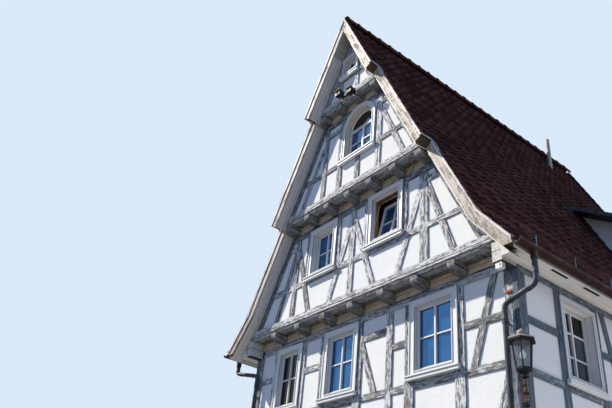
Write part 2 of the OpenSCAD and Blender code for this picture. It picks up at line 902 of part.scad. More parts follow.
module gutter_of() {
    r0 = gutter_r - 5;
    translate([gutter_x, verge_b - 20, gutter_z])
        rotate([90, 0, 0])
            linear_extrude(verge_b - verge_1 + 10)
                difference() {
                    circle(r = gutter_r, $fn = 48);
                    circle(r = r0, $fn = 48);
                    translate([-gutter_r - 1, 0]) square([2 * gutter_r + 2, gutter_r + 1]);
                }
    translate([gutter_x, verge_1 + 360, gutter_z - gutter_r - 110])
        cylinder(r = pipe_r + 16, h = 118, $fn = 32);
}
module gutters() {
    color(copper) both_sides() gutter_of();
}
// Pipe run: straight tubes with a ball at each bend
module tube(a, b, r) {
    d = b - a;
    len = norm(d);
    translate(a)
        rotate([0, acos(d[2] / len), atan2(d[1], d[0])])
            cylinder(r = r, h = len, $fn = 24);
}
pipe_turn = [gutter_x, verge_1 + 360, sill_1 - 820];
pipe_x = half_w - 200;
pipe_y = front_y - pipe_r - 55;
module downpipe_of() {
    a = [gutter_x, verge_1 + 360, gutter_z - gutter_r - 110];
    c = [pipe_x, pipe_y, sill_1 - 910];
    d = [pipe_x, pipe_y, 120];
    tube(pipe_turn, a, pipe_r);
    tube(c, pipe_turn, pipe_r);
    tube(d, c, pipe_r);
    for (p = [pipe_turn, c])
        translate(p) sphere(r = pipe_r + 5, $fn = 24);
    for (z = [700, sill_0 + 100, sill_1 - 1200])
        translate([pipe_x, front_y - 60, z])
            rotate([-90, 0, 0]) cylinder(r = 12, h = 60, $fn = 16);
}
module downpipes() {
    color(zinc) both_sides() downpipe_of();
}

// Dormer with a single slope in the right roof
module dormer_walls() {
    inner = dormer_x - dormer_wall;
    color(plaster) {
        for (y = [dormer_y0, dormer_y1 - dormer_wall])
            along_y(y, y + dormer_wall)
                polygon([[dormer_head + 60, dormer_under(dormer_head + 60)],
                    [dormer_x, dormer_under(dormer_x)],
                    [dormer_x, line_z(dormer_x, tile_t)],
                    [dormer_head + 60, line_z(dormer_head + 60, tile_t)]]);
        difference() {
            along_y(dormer_y0 + dormer_wall, dormer_y1 - dormer_wall)
                polygon([[inner, dormer_under(inner)], [dormer_x, dormer_under(dormer_x)],
                    [dormer_x, line_z(dormer_x, tile_t)], [inner, line_z(inner, tile_t)]]);
            stand_side(1, dormer_x + 1, dormer_wall + 2) holes_2d([dormer_win]);
        }
    }
}
module dormer_roof() {
    x1 = dormer_x + 300;
    color(zinc)
        along_y(dormer_y0 - dormer_side, dormer_y1 + dormer_side)
            polygon([[dormer_head, dormer_z(dormer_head)], [x1, dormer_z(x1)],
                [x1, dormer_z(x1) - dormer_t * 0.8], [dormer_x, dormer_under(dormer_x)],
                [dormer_meet, dormer_under(dormer_meet)]]);
}
// Where the dormer roof's underside meets the main slope
dormer_meet = dormer_head + (line_z(dormer_head, tile_t) - dormer_under(dormer_head))
    / (steep - dormer_fall);

// Windows: lining, surround, sill board and sash
module casing(w, depth) {
    stand_front(-band_t, band_t)
        difference() {
            opening_2d(w, w[5]);
            opening_2d(w, 0);
        }
    stand_front(0, depth)
        difference() {
            opening_2d(w, lining_t);
            opening_2d(w, 0);
        }
    translate([w[0] - w[2] / 2 - w[5] - 30, -band_t - board_out, w[1] - 80 - board_h])
        cube([w[2] + 2 * w[5] + 60, board_out + band_t, board_h]);
}
// A sash with a bar down its middle; an arched one has a post under a transom
module sash(w) {
    bar = w[6] ? sash_w : bar_w;
    stand_front(w[4] - band_t, sash_t)
        difference() {
            opening_2d(w, 0);
            difference() {
                opening_2d(w, -sash_w);
                translate([w[0] - bar / 2, w[1]]) square([bar, w[3]]);
                if (w[6])
                    translate([w[0] - w[2] / 2, w[1] + w[3] - sash_w / 2])
                        square([w[2], sash_w]);
            }
        }
}
module window_frame(w, depth) {
    casing(w, depth);
    sash(w);
}
module window_glass(w) {
    stand_front(w[4] - band_t + sash_t, glass_t) opening_2d(w, 0);
}
module at_front(y) {
    translate([0, y, 0]) children();
}
module at_back() {
    translate([0, back_y, 0]) mirror([0, 1, 0]) children();
}
module at_side(s) {
    translate([s * half_w, 0, 0]) rotate([0, 0, s > 0 ? 90 : -90]) children();
}
module at_dormer() {
    translate([dormer_x, 0, 0]) rotate([0, 0, 90]) children();
}
// The open sash leans in about its lower edge
module lean(w) {
    y = w[4] - band_t;
    lift = (sash_t + glass_t) * sin(sash_lean);
    translate([0, y, w[1] + lift])
        rotate([-sash_lean, 0, 0])
            translate([0, -y, -w[1]]) children();
}
module windows_front() {
    color(paint) {
        at_front(front_y) {
            for (w = front_wins)
                window_frame(w, frame_t);
            for (w = ground_wins)
                window_frame(w, wall_t);
        }
    }
}
module windows_gable() {
    color(paint) {
        at_front(face_1) {
            window_frame(win_d, frame_t);
            casing(win_e, frame_t);
            lean(win_e) sash(win_e);
        }
        at_front(face_2) window_frame(win_f, frame_t);
        at_front(face_3) window_frame(win_g, frame_t);
    }
}
module windows_sides() {
    color(paint)
        for (s = [-1, 1])
            at_side(s) {
                for (w = side_wins)
                    window_frame(w, frame_t);
                for (w = ground_side_wins)
                    window_frame(w, wall_t);
            }
    color(paint) at_dormer() window_frame(dormer_win, dormer_wall);
}
back_list = concat(front_wins, [win_d, win_e, win_f, win_g]);
module windows_back() {
    color(paint)
        at_back() {
            for (w = back_list)
                window_frame(w, frame_t);
            for (w = ground_wins)
                window_frame(w, wall_t);
        }
}
module glass_front() {
    color(pane) {
        at_front(front_y)
            for (w = concat(front_wins, ground_wins))
                window_glass(w);
        at_front(face_1) {
            window_glass(win_d);
            lean(win_e) window_glass(win_e);
        }
        at_front(face_2) window_glass(win_f);
        at_front(face_3) window_glass(win_g);
    }
}
module glass_sides() {
    color(pane)
        for (s = [-1, 1])
            at_side(s)
                for (w = concat(side_wins, ground_side_wins))
                    window_glass(w);
    color(pane) at_dormer() window_glass(dormer_win);
}
module glass_back() {
    color(pane)
        at_back()
            for (w = concat(back_list, ground_wins))
                window_glass(w);
}

// Lantern on the right front corner
lamp_at = [half_w + 160, front_y - 250];
lamp_z = sill_1 - 2000;
module lamp_ring(w, z, h) {
    translate([0, 0, z]) cylinder(r = w / 2, h = h, $fn = 6);
}
module lantern() {
    color(iron)
        translate([lamp_at[0], lamp_at[1], lamp_z]) {
            lamp_ring(240, -20, 22);
            lamp_ring(lamp_w, 390, 20);
            translate([0, 0, 410]) cylinder(r1 = lamp_w / 2, r2 = 55, h = 80, $fn = 6);
            translate([0, 0, 489]) cylinder(r = 50, h = 60, $fn = 24);
            translate([0, 0, 549]) cylinder(r1 = 50, r2 = 12, h = 60, $fn = 24);
            for (k = [0 : 5])
                rotate(60 * k)
                    tube([114, 0, 0], [155, 0, 391], 9);
            translate([0, 0, -90]) cylinder(r = 45, h = 72, $fn = 24);
            translate([0, 0, -420]) cylinder(r = 20, h = 332, $fn = 16);
            tube([0, 0, -400], [-160, 250, -400], 16);
            tube([0, 0, -100], [-160, 250, -250], 14);
        }
}
module lantern_glass() {
    color(pane)
        translate([lamp_at[0], lamp_at[1], lamp_z + 2])
            difference() {
                cylinder(r1 = 104, r2 = 144, h = 388, $fn = 6);
                translate([0, 0, -1]) cylinder(r1 = 98, r2 = 138, h = 390, $fn = 6);
            }
}

// Flue pipe near the ridge, snow guard over the eaves
flue_x = 330;
module flue_pipe() {
    foot_z = line_z(flue_x + flue_r, tile_t);
    top_z = line_z(flue_x, tile_t) + flue_h;
    color(zinc)
        translate([flue_x, back_y - 1080, 0])
            difference() {
                translate([0, 0, foot_z]) cylinder(r = flue_r, h = top_z - foot_z, $fn = 32);
                translate([0, 0, top_z - flue_h + 200])
                    cylinder(r = flue_r - 4, h = flue_h, $fn = 32);
                translate([-flue_x, 0, 0])
                    along_y(-200, 200)
                        polygon([[0, line_z(0, tile_t)], [0, foot_z - 900],
                            [2 * flue_x, line_z(2 * flue_x, tile_t)]]);
            }
}
guard_x = half_w + 40;
module guard_of() {
    z = line_z(guard_x, tile_t);
    y0 = front_y + 90;
    y1 = back_y - 90;
    posts = round((y1 - y0) / 1250);
    for (k = [0 : posts]) {
        y = y0 + k * (y1 - y0) / posts;
        along_y(y - 4, y + 4)
            polygon([[guard_x - 12, line_z(guard_x - 12, tile_t)],
                [guard_x + 12, line_z(guard_x + 12, tile_t)],
                [guard_x + 12, z + guard_h], [guard_x - 12, z + guard_h]]);
    }
    for (h = [60, guard_h - 12])
        translate([guard_x - 4, y0 - 4, z + h]) cube([8, y1 - y0 + 8, 8]);
}
module snow_guard() {
    color(iron) both_sides() guard_of();
}

// Two small lamps on a flat rail in front of the top sill, each with an upright strap,
// an arm and a tapering case under a cover plate
spot_at = [[-130, 160], [270, -10]];
spot_d = 130;
spot_h = 120;
spot_rail = [12, 36];
spot_arm = [24, 30];
module spot_case_2d() {
    plate = 12;
    polygon([[-spot_d, -spot_h / 2], [0, -spot_h / 3], [0, spot_h / 3],
        [10, spot_h / 3 + plate], [-spot_d - 25, spot_h / 2 + plate],
        [-spot_d - 25, spot_h / 2], [-spot_d, spot_h / 2]]);
}
module gable_lamps() {
    y = face_3 - sill_proud - spot_rail[0];
    rail_z = sill_3 + 100;
    bar = spot_arm[0];
    color(iron) {
        translate([spot_at[0][0] - bar, y, rail_z])
            cube([spot_at[1][0] - spot_at[0][0] + 2 * bar, spot_rail[0], spot_rail[1]]);
        for (p = spot_at) {
            z = sill_3 + p[1];
            low = min(z - bar / 2, rail_z);
            high = max(z + bar / 2, rail_z + spot_rail[1]);
            translate([p[0] - bar / 2, y, low]) cube([bar, spot_rail[0], high - low]);
            translate([p[0] - bar / 2, y - spot_arm[1], z - bar / 2])
                cube([bar, spot_arm[1], bar]);
            translate([p[0] - spot_w / 2, y - spot_arm[1], z])
                rotate([90, 0, 90])
                    linear_extrude(spot_w) spot_case_2d();
        }
    }
}

ground_slab();
plinth();
ground_wall_front();
ground_wall_back();
ground_wall_side(-1);  // ground_wall_left
ground_wall_side(1);  // ground_wall_right
entrance_door();
first_floor();
storey_frame_of(front_y);  // storey_frame_front
storey_frame_of(back_y - frame_t);  // storey_frame_back
storey_frame_side(-1);  // storey_frame_left
storey_frame_side(1);  // storey_frame_right
storey_panels_of(front_y);  // storey_panels_front
storey_panels_of(back_y - frame_t);  // storey_panels_back
storey_panels_side(-1);  // storey_panels_left
storey_panels_side(1);  // storey_panels_right
attic_floor();
upper_attic_floor();
top_attic_floor();
gable_frame_lower();
gable_frame_middle();
gable_frame_upper();
gable_panels_lower();
gable_panels_middle();
gable_panels_upper();
back_gable_frame();
back_gable_panels();
roof_left();
roof_right();
ridge_cap();
verge_lower();
verge_middle();
verge_upper();
verge_back();
eaves(-1);  // eaves_left
eaves(1);  // eaves_right
gutters();
downpipes();
dormer_walls();
dormer_roof();
windows_front();
windows_gable();
windows_sides();
windows_back();
glass_front();
glass_sides();
glass_back();
lantern();
lantern_glass();
flue_pipe();
snow_guard();
gable_lamps();
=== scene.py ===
"""Half timbered gable house: finishes, timber faces, tiles, window bars and small fittings."""
import math
import random

import bmesh
import bpy
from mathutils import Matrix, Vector


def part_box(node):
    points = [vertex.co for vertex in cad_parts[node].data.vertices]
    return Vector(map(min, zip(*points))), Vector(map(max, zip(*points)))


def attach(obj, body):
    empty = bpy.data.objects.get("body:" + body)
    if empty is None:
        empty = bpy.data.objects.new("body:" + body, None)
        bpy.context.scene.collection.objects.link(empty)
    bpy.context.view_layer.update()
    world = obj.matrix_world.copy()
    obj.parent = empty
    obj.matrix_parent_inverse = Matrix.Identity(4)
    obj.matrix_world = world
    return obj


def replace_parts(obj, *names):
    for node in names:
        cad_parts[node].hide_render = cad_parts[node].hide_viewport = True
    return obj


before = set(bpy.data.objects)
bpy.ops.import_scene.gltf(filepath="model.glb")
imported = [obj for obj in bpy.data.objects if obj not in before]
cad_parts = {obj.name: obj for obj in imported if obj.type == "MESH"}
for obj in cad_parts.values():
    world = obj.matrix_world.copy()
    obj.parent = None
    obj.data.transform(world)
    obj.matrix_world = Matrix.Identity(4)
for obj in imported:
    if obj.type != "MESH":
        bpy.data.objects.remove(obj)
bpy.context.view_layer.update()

UP = Vector((0, 0, 1))
rng = random.Random(7)


# ---------------------------------------------------------------- shader trees

class Value:
    """An output of a shader node. Arithmetic with it adds math nodes to its tree."""

    def __init__(self, net, socket):
        self.net, self.socket = net, socket

    def math(self, operation, other=0.0, clamp=False):
        return self.net.math(operation, self, other, clamp)

    def __add__(self, other):
        return self.math("ADD", other)

    def __sub__(self, other):
        return self.math("SUBTRACT", other)

    def __rsub__(self, other):
        return self.net.math("SUBTRACT", other, self)

    def __mul__(self, other):
        return self.math("MULTIPLY", other)

    def __abs__(self):
        return self.math("ABSOLUTE")

    def step(self, low, high):
        """0 below low, 1 above high, smooth between."""
        return self.net.add("MapRange", {"Value": self, "From Min": low, "From Max": high},
                            interpolation_type="SMOOTHSTEP")["Result"]


class Node:
    """A node of a shader tree, with its outputs by name or number."""

    def __init__(self, net, node):
        self.net, self.inputs, self.outputs = net, node.inputs, node.outputs

    def __getitem__(self, key):
        return Value(self.net, self.outputs[key])


class Net:
    """A shader tree, and short ways to add to it."""

    def __init__(self, tree):
        self.tree = tree

    def link(self, value, socket):
        self.tree.links.new(value.socket, socket)

    def add(self, kind, inputs=None, **settings):
        """A node with its settings, and its inputs by name or number."""
        made = self.tree.nodes.new("ShaderNode" + kind)
        for name, value in settings.items():
            setattr(made, name, value)
        for name, value in (inputs or {}).items():
            if isinstance(value, Value):
                self.link(value, made.inputs[name])
            else:
                made.inputs[name].default_value = value
        return Node(self, made)

    def math(self, operation, a, b=0.0, clamp=False):
        return self.add("Math", {0: a, 1: b}, operation=operation, use_clamp=clamp)[0]

    def mix(self, mask, a, b, blend="MIX"):
        return self.add("Mix", {0: mask, 6: a, 7: b}, data_type="RGBA", blend_type=blend)[2]

    def noise(self, vector, scale, detail, rough):
        return self.add("TexNoise", {"Vector": vector, "Scale": scale, "Detail": detail,
                                     "Roughness": rough})["Fac"]

    def stretched(self, vector, by):
        return self.add("VectorMath", {0: vector, 1: by}, operation="MULTIPLY")[0]

    def own(self, name, output="Fac"):
        """A value that each piece's mesh holds."""
        return self.add("Attribute", attribute_name=name)[output]


# ---------------------------------------------------------------- stage

PHOTO_W = 612
FOCAL_PX = 652.42
SENSOR = 36.0
CAMERA_AT = Vector((8.834, -11.248, 1.303))
CAMERA_RIGHT = Vector((0.60457, 0.79052, 0.09787))
CAMERA_UP = Vector((0.37198, -0.38884, 0.84288))


def put(thing):
    """An object into the scene."""
    bpy.context.scene.collection.objects.link(thing)
    return thing


def make_camera():
    data = bpy.data.cameras.new("camera")
    data.sensor_width = SENSOR
    data.lens = SENSOR * FOCAL_PX / PHOTO_W
    data.clip_end = 200
    camera = bpy.data.objects.new("camera", data)
    axes = [CAMERA_RIGHT, CAMERA_UP, CAMERA_RIGHT.cross(CAMERA_UP)]
    for row in range(3):
        for column in range(3):
            camera.matrix_world[row][column] = axes[column][row]
        camera.matrix_world[row][3] = CAMERA_AT[row]
    bpy.context.scene.camera = put(camera)


def make_sun(name, towards, strength, softness, colour):
    data = bpy.data.lights.new(name, "SUN")
    data.energy, data.angle, data.color = strength, math.radians(softness), colour
    sun = bpy.data.objects.new(name, data)
    sun.rotation_mode = "QUATERNION"
    sun.rotation_quaternion = Vector(towards).to_track_quat("-Z", "Y")
    put(sun)


def make_street_light():
    """Light that pale ground along the right wall sends up to the eaves."""
    data = bpy.data.lights.new("street_light", "AREA")
    data.shape = "RECTANGLE"
    data.size, data.size_y = 2.0, 7.5
    data.energy, data.color = 140.0, (1.0, 0.94, 0.86)
    lamp = bpy.data.objects.new("street_light", data)
    lamp.location = (5.4, -0.6, 0.15)
    lamp.rotation_euler = (math.pi, 0, 0)
    lamp.visible_camera = lamp.visible_glossy = False
    put(lamp)


def make_backdrop():
    """A soft blue world for the light, and a pale one for the eye and for mirrors."""
    world = bpy.data.worlds.new("pale_sky")
    world.use_nodes = True
    world.node_tree.nodes.clear()
    net = Net(world.node_tree)
    seen = net.add("LightPath")
    bent = seen["Is Glossy Ray"].math("MAXIMUM", seen["Is Transmission Ray"])
    direct = bent.math("MAXIMUM", seen["Is Camera Ray"])
    soft = net.add("Background", {"Color": (0.26, 0.49, 1.0, 1), "Strength": 0.51})
    pale = net.add("Background", {"Color": (0.70, 0.82, 0.95, 1), "Strength": 1.0})
    both = net.add("MixShader", {0: direct, 1: soft[0], 2: pale[0]})
    net.add("OutputWorld", {0: both[0]})
    bpy.context.scene.world = world


# ---------------------------------------------------------------- measures, in metres

class Wall:
    """A wall's outer face: u runs along it, z is the height, out is the way it faces."""

    def __init__(self, origin, run, out):
        self.origin, self.run, self.out = Vector(origin), Vector(run), Vector(out)

    def at(self, u, z, proud=0.0):
        return self.origin + self.run * u + UP * z + self.out * proud


WALL_LOW, WALL_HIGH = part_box("storey_frame_front")
HALF_W = WALL_HIGH.x
BAY = HALF_W / 7
FRONT = WALL_LOW.y
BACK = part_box("storey_frame_back")[1].y
GABLE_LOWS = [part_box("gable_frame_" + stage)[0] for stage in ("lower", "middle", "upper")]
SILL = [WALL_LOW.z] + [low.z for low in GABLE_LOWS]
SILL_PROUD = 0.04
FACE = [FRONT] + [low.y + SILL_PROUD for low in GABLE_LOWS]
JOIST_H = 0.17
SILL_H = 0.21
POST, RAIL, BRACE, PLATE, RAFTER = 0.15, 0.115, 0.13, 0.14, 0.15
CORNER = 0.24
JAMB = 0.105
LINING = 0.03

# The tile line: ridge, kink and eaves
RIDGE = (0.0, 13.47)
EAVE = (HALF_W + 0.44, SILL[1] - 0.26)
KINK = (EAVE[0] - 0.66, EAVE[1] + 0.78)
STEEP = (RIDGE[1] - KINK[1]) / KINK[0]
FOOT = (KINK[1] - EAVE[1]) / (EAVE[0] - KINK[0])
STEEP_N = math.hypot(1, STEEP)
FOOT_N = math.hypot(1, FOOT)
STEEP_PITCH = (RIDGE[1], STEEP, STEEP_N)
FOOT_PITCH = (KINK[1] + FOOT * KINK[0], FOOT, FOOT_N)
ROOF_T, TILE_T = 0.20, 0.045
VERGE_OUT, VERGE_OUT_TOP, BACK_OUT, BARGE_T = 0.28, 0.31, 0.40, 0.032
VERGE = [FACE[1] - VERGE_OUT, FACE[2] - VERGE_OUT, FACE[3] - VERGE_OUT_TOP]
VERGE_BACK = BACK + BACK_OUT
STEP_LOW = (RIDGE[1] - SILL[2] - 0.015) / STEEP
STEP_HIGH = (RIDGE[1] - SILL[3] - 0.19) / STEEP
LEFT_STEP = 0.10


def step_x(stage, side):
    """Where a verge stops, across the house: stage 0 is the lower step, 1 the upper one."""
    if stage == 0:
        return STEP_LOW
    return STEP_HIGH + (LEFT_STEP if side < 0 else 0)


def roof_z(x, depth):
    """Height of a line that lies a depth under the tile line."""
    return max(RIDGE[1] - STEEP * abs(x) - depth * STEEP_N,
               KINK[1] - FOOT * (abs(x) - KINK[0]) - depth * FOOT_N)


def bend_x(depth):
    """Where that line bends over the eaves."""
    return (RIDGE[1] - KINK[1] - FOOT * KINK[0] - depth * (STEEP_N - FOOT_N)) / (STEEP - FOOT)


def window(bays, z, width, height, inset, band, arched=False):
    return {"x": bays * BAY, "z": z, "w": width, "h": height, "set": inset, "band": band,
            "arch": arched}


STOREY_Z = SILL[0] + 1.3
FRONT_WINDOWS = [window(-4.5, STOREY_Z, 0.64, 1.12, 0.06, 0.13),
                 window(-1.13, STOREY_Z, 0.77, 1.12, 0.06, 0.13),
                 window(3.62, STOREY_Z, 0.82, 1.12, 0.06, 0.13)]
GABLE_Z = SILL[1] + 1.03
LOWER_WINDOWS = [window(-2.08, GABLE_Z, 0.69, 0.95, 0.14, 0.12),
                 window(1.74, GABLE_Z + 0.06, 0.74, 0.95, 0.14, 0.12)]
ARCHED = window(0.48, SILL[2] + 0.93, 0.86, 0.74, 0.13, 0.10, True)
PEAK = window(0.03, SILL[3] + 0.85, 0.40, 0.45, 0.12, 0.07)
GROUND_Z = 1.25
GROUND_WINDOWS = [window(bays, GROUND_Z, 0.82, 1.12, 0.15, 0.13) for bays in (-4.5, 3.62)]
SIDE_BAYS = [k * (BACK - 1.46) / BAY for k in (-1, 0, 1)]
SIDE_WINDOWS = [window(bays, SILL[0] + 1.12, 0.78, 1.18, 0.14, 0.08) for bays in SIDE_BAYS]
GROUND_SIDE = [window(bays, GROUND_Z, 0.78, 1.12, 0.15, 0.13) for bays in SIDE_BAYS]
DOOR_X = -1.13 * BAY


def gable_wall(y, way=-1):
    """A wall across the house that faces the front (-1) or the back (1)."""
    return Wall((0, y, 0), (1, 0, 0), (0, way, 0))


def side_wall(x):
    return Wall((x, 0, 0), (0, 1, 0), (1 if x > 0 else -1, 0, 0))


FRONT_WALL = [gable_wall(y) for y in FACE]
BACK_WALL = gable_wall(BACK, 1)
RIGHT_WALL, LEFT_WALL = side_wall(HALF_W), side_wall(-HALF_W)


# ---------------------------------------------------------------- shared effects

class Effect(Net):
    """A shader group: named inputs with their start values (None is a vector), named outputs."""

    def __init__(self, name, inputs, outputs):
        super().__init__(bpy.data.node_groups.new(name, "ShaderNodeTree"))
        for label, value in inputs.items():
            socket = self.socket(label, "INPUT", value is None)
            if value is not None:
                socket.default_value = value
        for label in outputs:
            self.socket(label, "OUTPUT")
        self.given = Node(self, self.tree.nodes.new("NodeGroupInput"))
        self.out = self.tree.nodes.new("NodeGroupOutput").inputs

    def socket(self, label, way, vector=False):
        kind = "Vector" if vector else "Color" if label == "Color" else "Float"
        return self.tree.interface.new_socket(name=label, in_out=way,
                                              socket_type="NodeSocket" + kind)

    def give(self, **values):
        for label, value in values.items():
            self.link(value, self.out[label])
        return self

    def past_level(self, cloud):
        """1 where a cloud of noise passes the given level."""
        level, softness = self.given["Level"], self.given["Softness"]
        return cloud.step(level - softness, level + softness)


def patches_effect():
    """Blotches: 1 where a cloud of noise passes a level."""
    made = Effect("Patches", {"Vector": None, "Scale": 1.0, "Level": 0.5, "Softness": 0.05},
                  ("Mask", "Cloud"))
    cloud = made.noise(made.given["Vector"], made.given["Scale"], 5.0, 0.62)
    return made.give(Mask=made.past_level(cloud), Cloud=cloud)


def grain_effect():
    """Wood fibres: the vector runs along, across and into the board, in metres."""
    made = Effect("Wood Grain", {"Vector": None, "Fineness": 1.0, "Cracks": 0.62},
                  ("Fibre", "Crack", "Streak", "Height"))
    given = made.given

    def pulled(along, across, detail, rough):
        place = made.stretched(given["Vector"], (along, across, across))
        return made.noise(place, given["Fineness"], detail, rough)

    fibre = pulled(2.4, 60.0, 5.0, 0.75)
    split = pulled(1.1, 24.0, 4.0, 0.6)
    streak = pulled(1.1, 17.0, 4.0, 0.65)
    crack = split.step(given["Cracks"], given["Cracks"] + 0.04)
    return made.give(Fibre=fibre.step(0.32, 0.68), Crack=crack, Streak=streak.step(0.38, 0.62),
                     Height=fibre - crack)


def flakes_effect():
    """Remains of a coat on wood: ragged flakes, drawn out along the board."""
    made = Effect("Flakes", {"Vector": None, "Level": 0.5, "Softness": 0.03, "Long": 5.0,
                             "Wide": 20.0}, ("Mask",))
    long, wide = made.given["Long"], made.given["Wide"]
    pull = made.add("CombineXYZ", {0: long, 1: wide, 2: wide})[0]
    cloud = made.noise(made.stretched(made.given["Vector"], pull), 1.0, 6.0, 0.72)
    return made.give(Mask=made.past_level(cloud))


def streak_effect():
    """Marks that rain draws down a wall."""
    made = Effect("Rain Streaks", {"Vector": None, "Level": 0.56, "Softness": 0.12}, ("Mask",))
    cloud = made.noise(made.stretched(made.given["Vector"], (7.0, 7.0, 0.55)), 1.0, 4.0, 0.6)
    return made.give(Mask=made.past_level(cloud))


def crevice_effect():
    """Darkness in corners and under edges, from ambient occlusion: painted shade, with the grime
    that gathers there.
    """
    made = Effect("Crevice Grime And Shade", {"Distance": 0.1, "Amount": 0.6}, ("Mask",))
    open_sky = made.add("AmbientOcclusion", {"Distance": made.given["Distance"]}, samples=6)["AO"]
    return made.give(Mask=(1.0 - open_sky).math("MULTIPLY", made.given["Amount"], clamp=True))


def tone_effect():
    """Lighter and darker pieces of one finish, from each piece's own tone."""
    made = Effect("Piece Tone", {"Color": (1, 1, 1, 1), "Amount": 0.3}, ("Color",))
    gain = (made.own("tone") - 0.5) * made.given["Amount"] + 1.0
    return made.give(Color=made.add("VectorMath", {0: made.given["Color"], "Scale": gain},
                                    operation="SCALE")[0])


def facing_effect():
    """Masks of the faces that look down, up and left."""
    made = Effect("Facing", {"Sharpness": 5.0}, ("Down", "Up", "Left"))
    normal = made.add("SeparateXYZ", {0: made.add("NewGeometry")["True Normal"]})
    for name, axis, way, start in (("Down", "Z", -1, 0.5), ("Up", "Z", 1, 0.5),
                                   ("Left", "X", -1, 0.7)):
        past = normal[axis] * way - start
        made.give(**{name: past.math("MULTIPLY", made.given["Sharpness"], clamp=True)})
    return made


make_camera()
make_sun("key_light", (0.68, 0.35, -0.66), 7.25, 1.2, (1.0, 0.94, 0.82))
make_sun("fill_light", (-0.66, -0.42, -0.30), 0.62, 30, (1.0, 0.98, 0.86))
make_street_light()
make_backdrop()
PATCHES = patches_effect()
GRAIN = grain_effect()
FLAKES = flakes_effect()
STREAKS = streak_effect()
CREVICE = crevice_effect()
TONE = tone_effect()
FACING = facing_effect()


# ---------------------------------------------------------------- finishes

class Finish(Net):
    """A new material: its shader with plain values, and the shared effects by name."""

    def __init__(self, name, **sockets):
        self.material = bpy.data.materials.new(name)
        self.material.use_nodes = True
        super().__init__(self.material.node_tree)
        self.tree.nodes.clear()
        self.shader = self.add("BsdfPrincipled", {label.replace("_", " "): value
                                                  for label, value in sockets.items()})
        self.add("OutputMaterial", {0: self.shader[0]})

    def done(self, height=None, distance=0.0, **values):
        """The material, with values into its shader's sockets and a bump of some height."""
        if height is not None:
            values["Normal"] = self.add("Bump", {"Height": height, "Strength": 1.0,
                                                 "Distance": distance})[0]
        for label, value in values.items():
            self.link(value, self.shader.inputs[label.replace("_", " ")])
        return self.material

    @property
    def place(self):
        return self.add("TexCoord")["Object"]

    @property
    def parts(self):
        return self.add("SeparateXYZ", {0: self.place})

    def fibres(self, axis):
        """Coordinates that run along the wood: a piece's own, or with one axis first."""
        if axis == "own":
            return self.own("grain", "Vector")
        parts, order = self.parts, {"X": (0, 1, 2), "Y": (1, 0, 2), "Z": (2, 0, 1)}[axis]
        return self.add("CombineXYZ", {k: parts[order[k]] for k in range(3)})[0]

    def use(self, effect, **values):
        """A shared effect with its own values."""
        return self.add("Group", values, node_tree=effect.tree)

    def patches(self, scale, level, softness, vector=None):
        return self.use(PATCHES, Vector=vector or self.place, Scale=scale, Level=level,
                        Softness=softness)

    def grain(self, fibres, cracks):
        return self.use(GRAIN, Vector=fibres, Fineness=1.0, Cracks=cracks)

    def flakes(self, fibres, level, softness=0.03, long=5.0, wide=20.0):
        return self.use(FLAKES, Vector=fibres, Level=level, Softness=softness, Long=long,
                        Wide=wide)["Mask"]

    def rain(self, level, softness):
        return self.use(STREAKS, Vector=self.place, Level=level, Softness=softness)["Mask"]

    def crevice(self, distance, amount):
        return self.use(CREVICE, Distance=distance, Amount=amount)["Mask"]

    def toned(self, colour, amount):
        return self.use(TONE, Color=colour, Amount=amount)["Color"]

    def facing(self, way):
        return self.use(FACING)[way]

    def layers(self, colour, *layers):
        """Colours laid over a first one, each through its mask."""
        for mask, tint in layers:
            colour = self.mix(mask, colour, tint)
        return colour


def rgb(red, green, blue):
    return (red, green, blue, 1.0)


def dimmed(colour, by):
    return rgb(*(by * c for c in colour[:3]))


def down_slope(f):
    """Object coordinates turned to run down the roof's steep slope, on either side."""
    parts, cos, sin = f.parts, 1 / STEEP_N, STEEP / STEEP_N
    out, up = abs(parts[0]), parts[2]
    return f.add("CombineXYZ", {0: out * cos + up * -sin, 1: out * sin + up * cos,
                                2: parts[1]})[0]


def depth_under_tiles(f):
    """How far a place lies under the tile line, square to the slope, in metres."""
    parts = f.parts
    out = abs(parts[0])

    def under(height, slope, slope_n):
        return (height - out * slope - parts[2]).math("DIVIDE", slope_n)
    return under(*STEEP_PITCH).math("MAXIMUM", under(*FOOT_PITCH))


def timber_finish(name, axis, wood, coat, level, cracks=0.60, toned=False, rough=0.85,
                  painted_shade_amount=0.0):
    """Weathered timber: pale and worn wood in streaks, brown places, dark cracks, and the remains
    of a pale coat. Painted shade makes it navy in hollows and under overhangs, and dark on its
    undersides and in narrow creases, where grime adds to it. wood holds the pale, worn, dark and
    brown colours."""
    pale, worn, dark, brown = wood
    f = Finish(name, Specular_IOR_Level=0.05)
    fibres = f.fibres(axis)
    grain = f.grain(fibres, cracks)
    browned = f.patches(2.4, 0.60, 0.05)["Mask"] * grain["Streak"]
    peeled = level + 0.035 - f.own("tone") * 0.09 if toned else level
    left = f.flakes(fibres, peeled, 0.03, 8.0, 30.0)
    # Painted shade: navy where half a metre of ambient occlusion finds cover, dark on faces that
    # look down, and dark in narrow creases as grime and painted shade.
    colour = f.layers(worn, (grain["Streak"], pale), (grain["Fibre"] * 0.45, worn),
                      (browned * 0.8, brown), (left * 0.9, coat),
                      (f.crevice(0.5, painted_shade_amount), rgb(0.036, 0.070, 0.140)),
                      (grain["Crack"] * 0.88, dark), (f.facing("Down") * 0.5, dark),
                      (f.crevice(0.05, 0.7), dark))
    if toned:
        colour = f.toned(colour, 0.3)
    return f.done(grain["Height"] + left, 0.005, Base_Color=colour,
                  Roughness=rough - grain["Fibre"] * 0.12)


def greyed_towards_key_light(f, colour):
    """Painted shade: greyer on faces that look left and on tops, the faces that the key light
    strikes most.
    """
    facing = f.use(FACING)
    dull = facing["Left"].math("MAXIMUM", facing["Up"])
    return f.mix(dull, colour, rgb(0.60, 0.60, 0.61), "MULTIPLY")


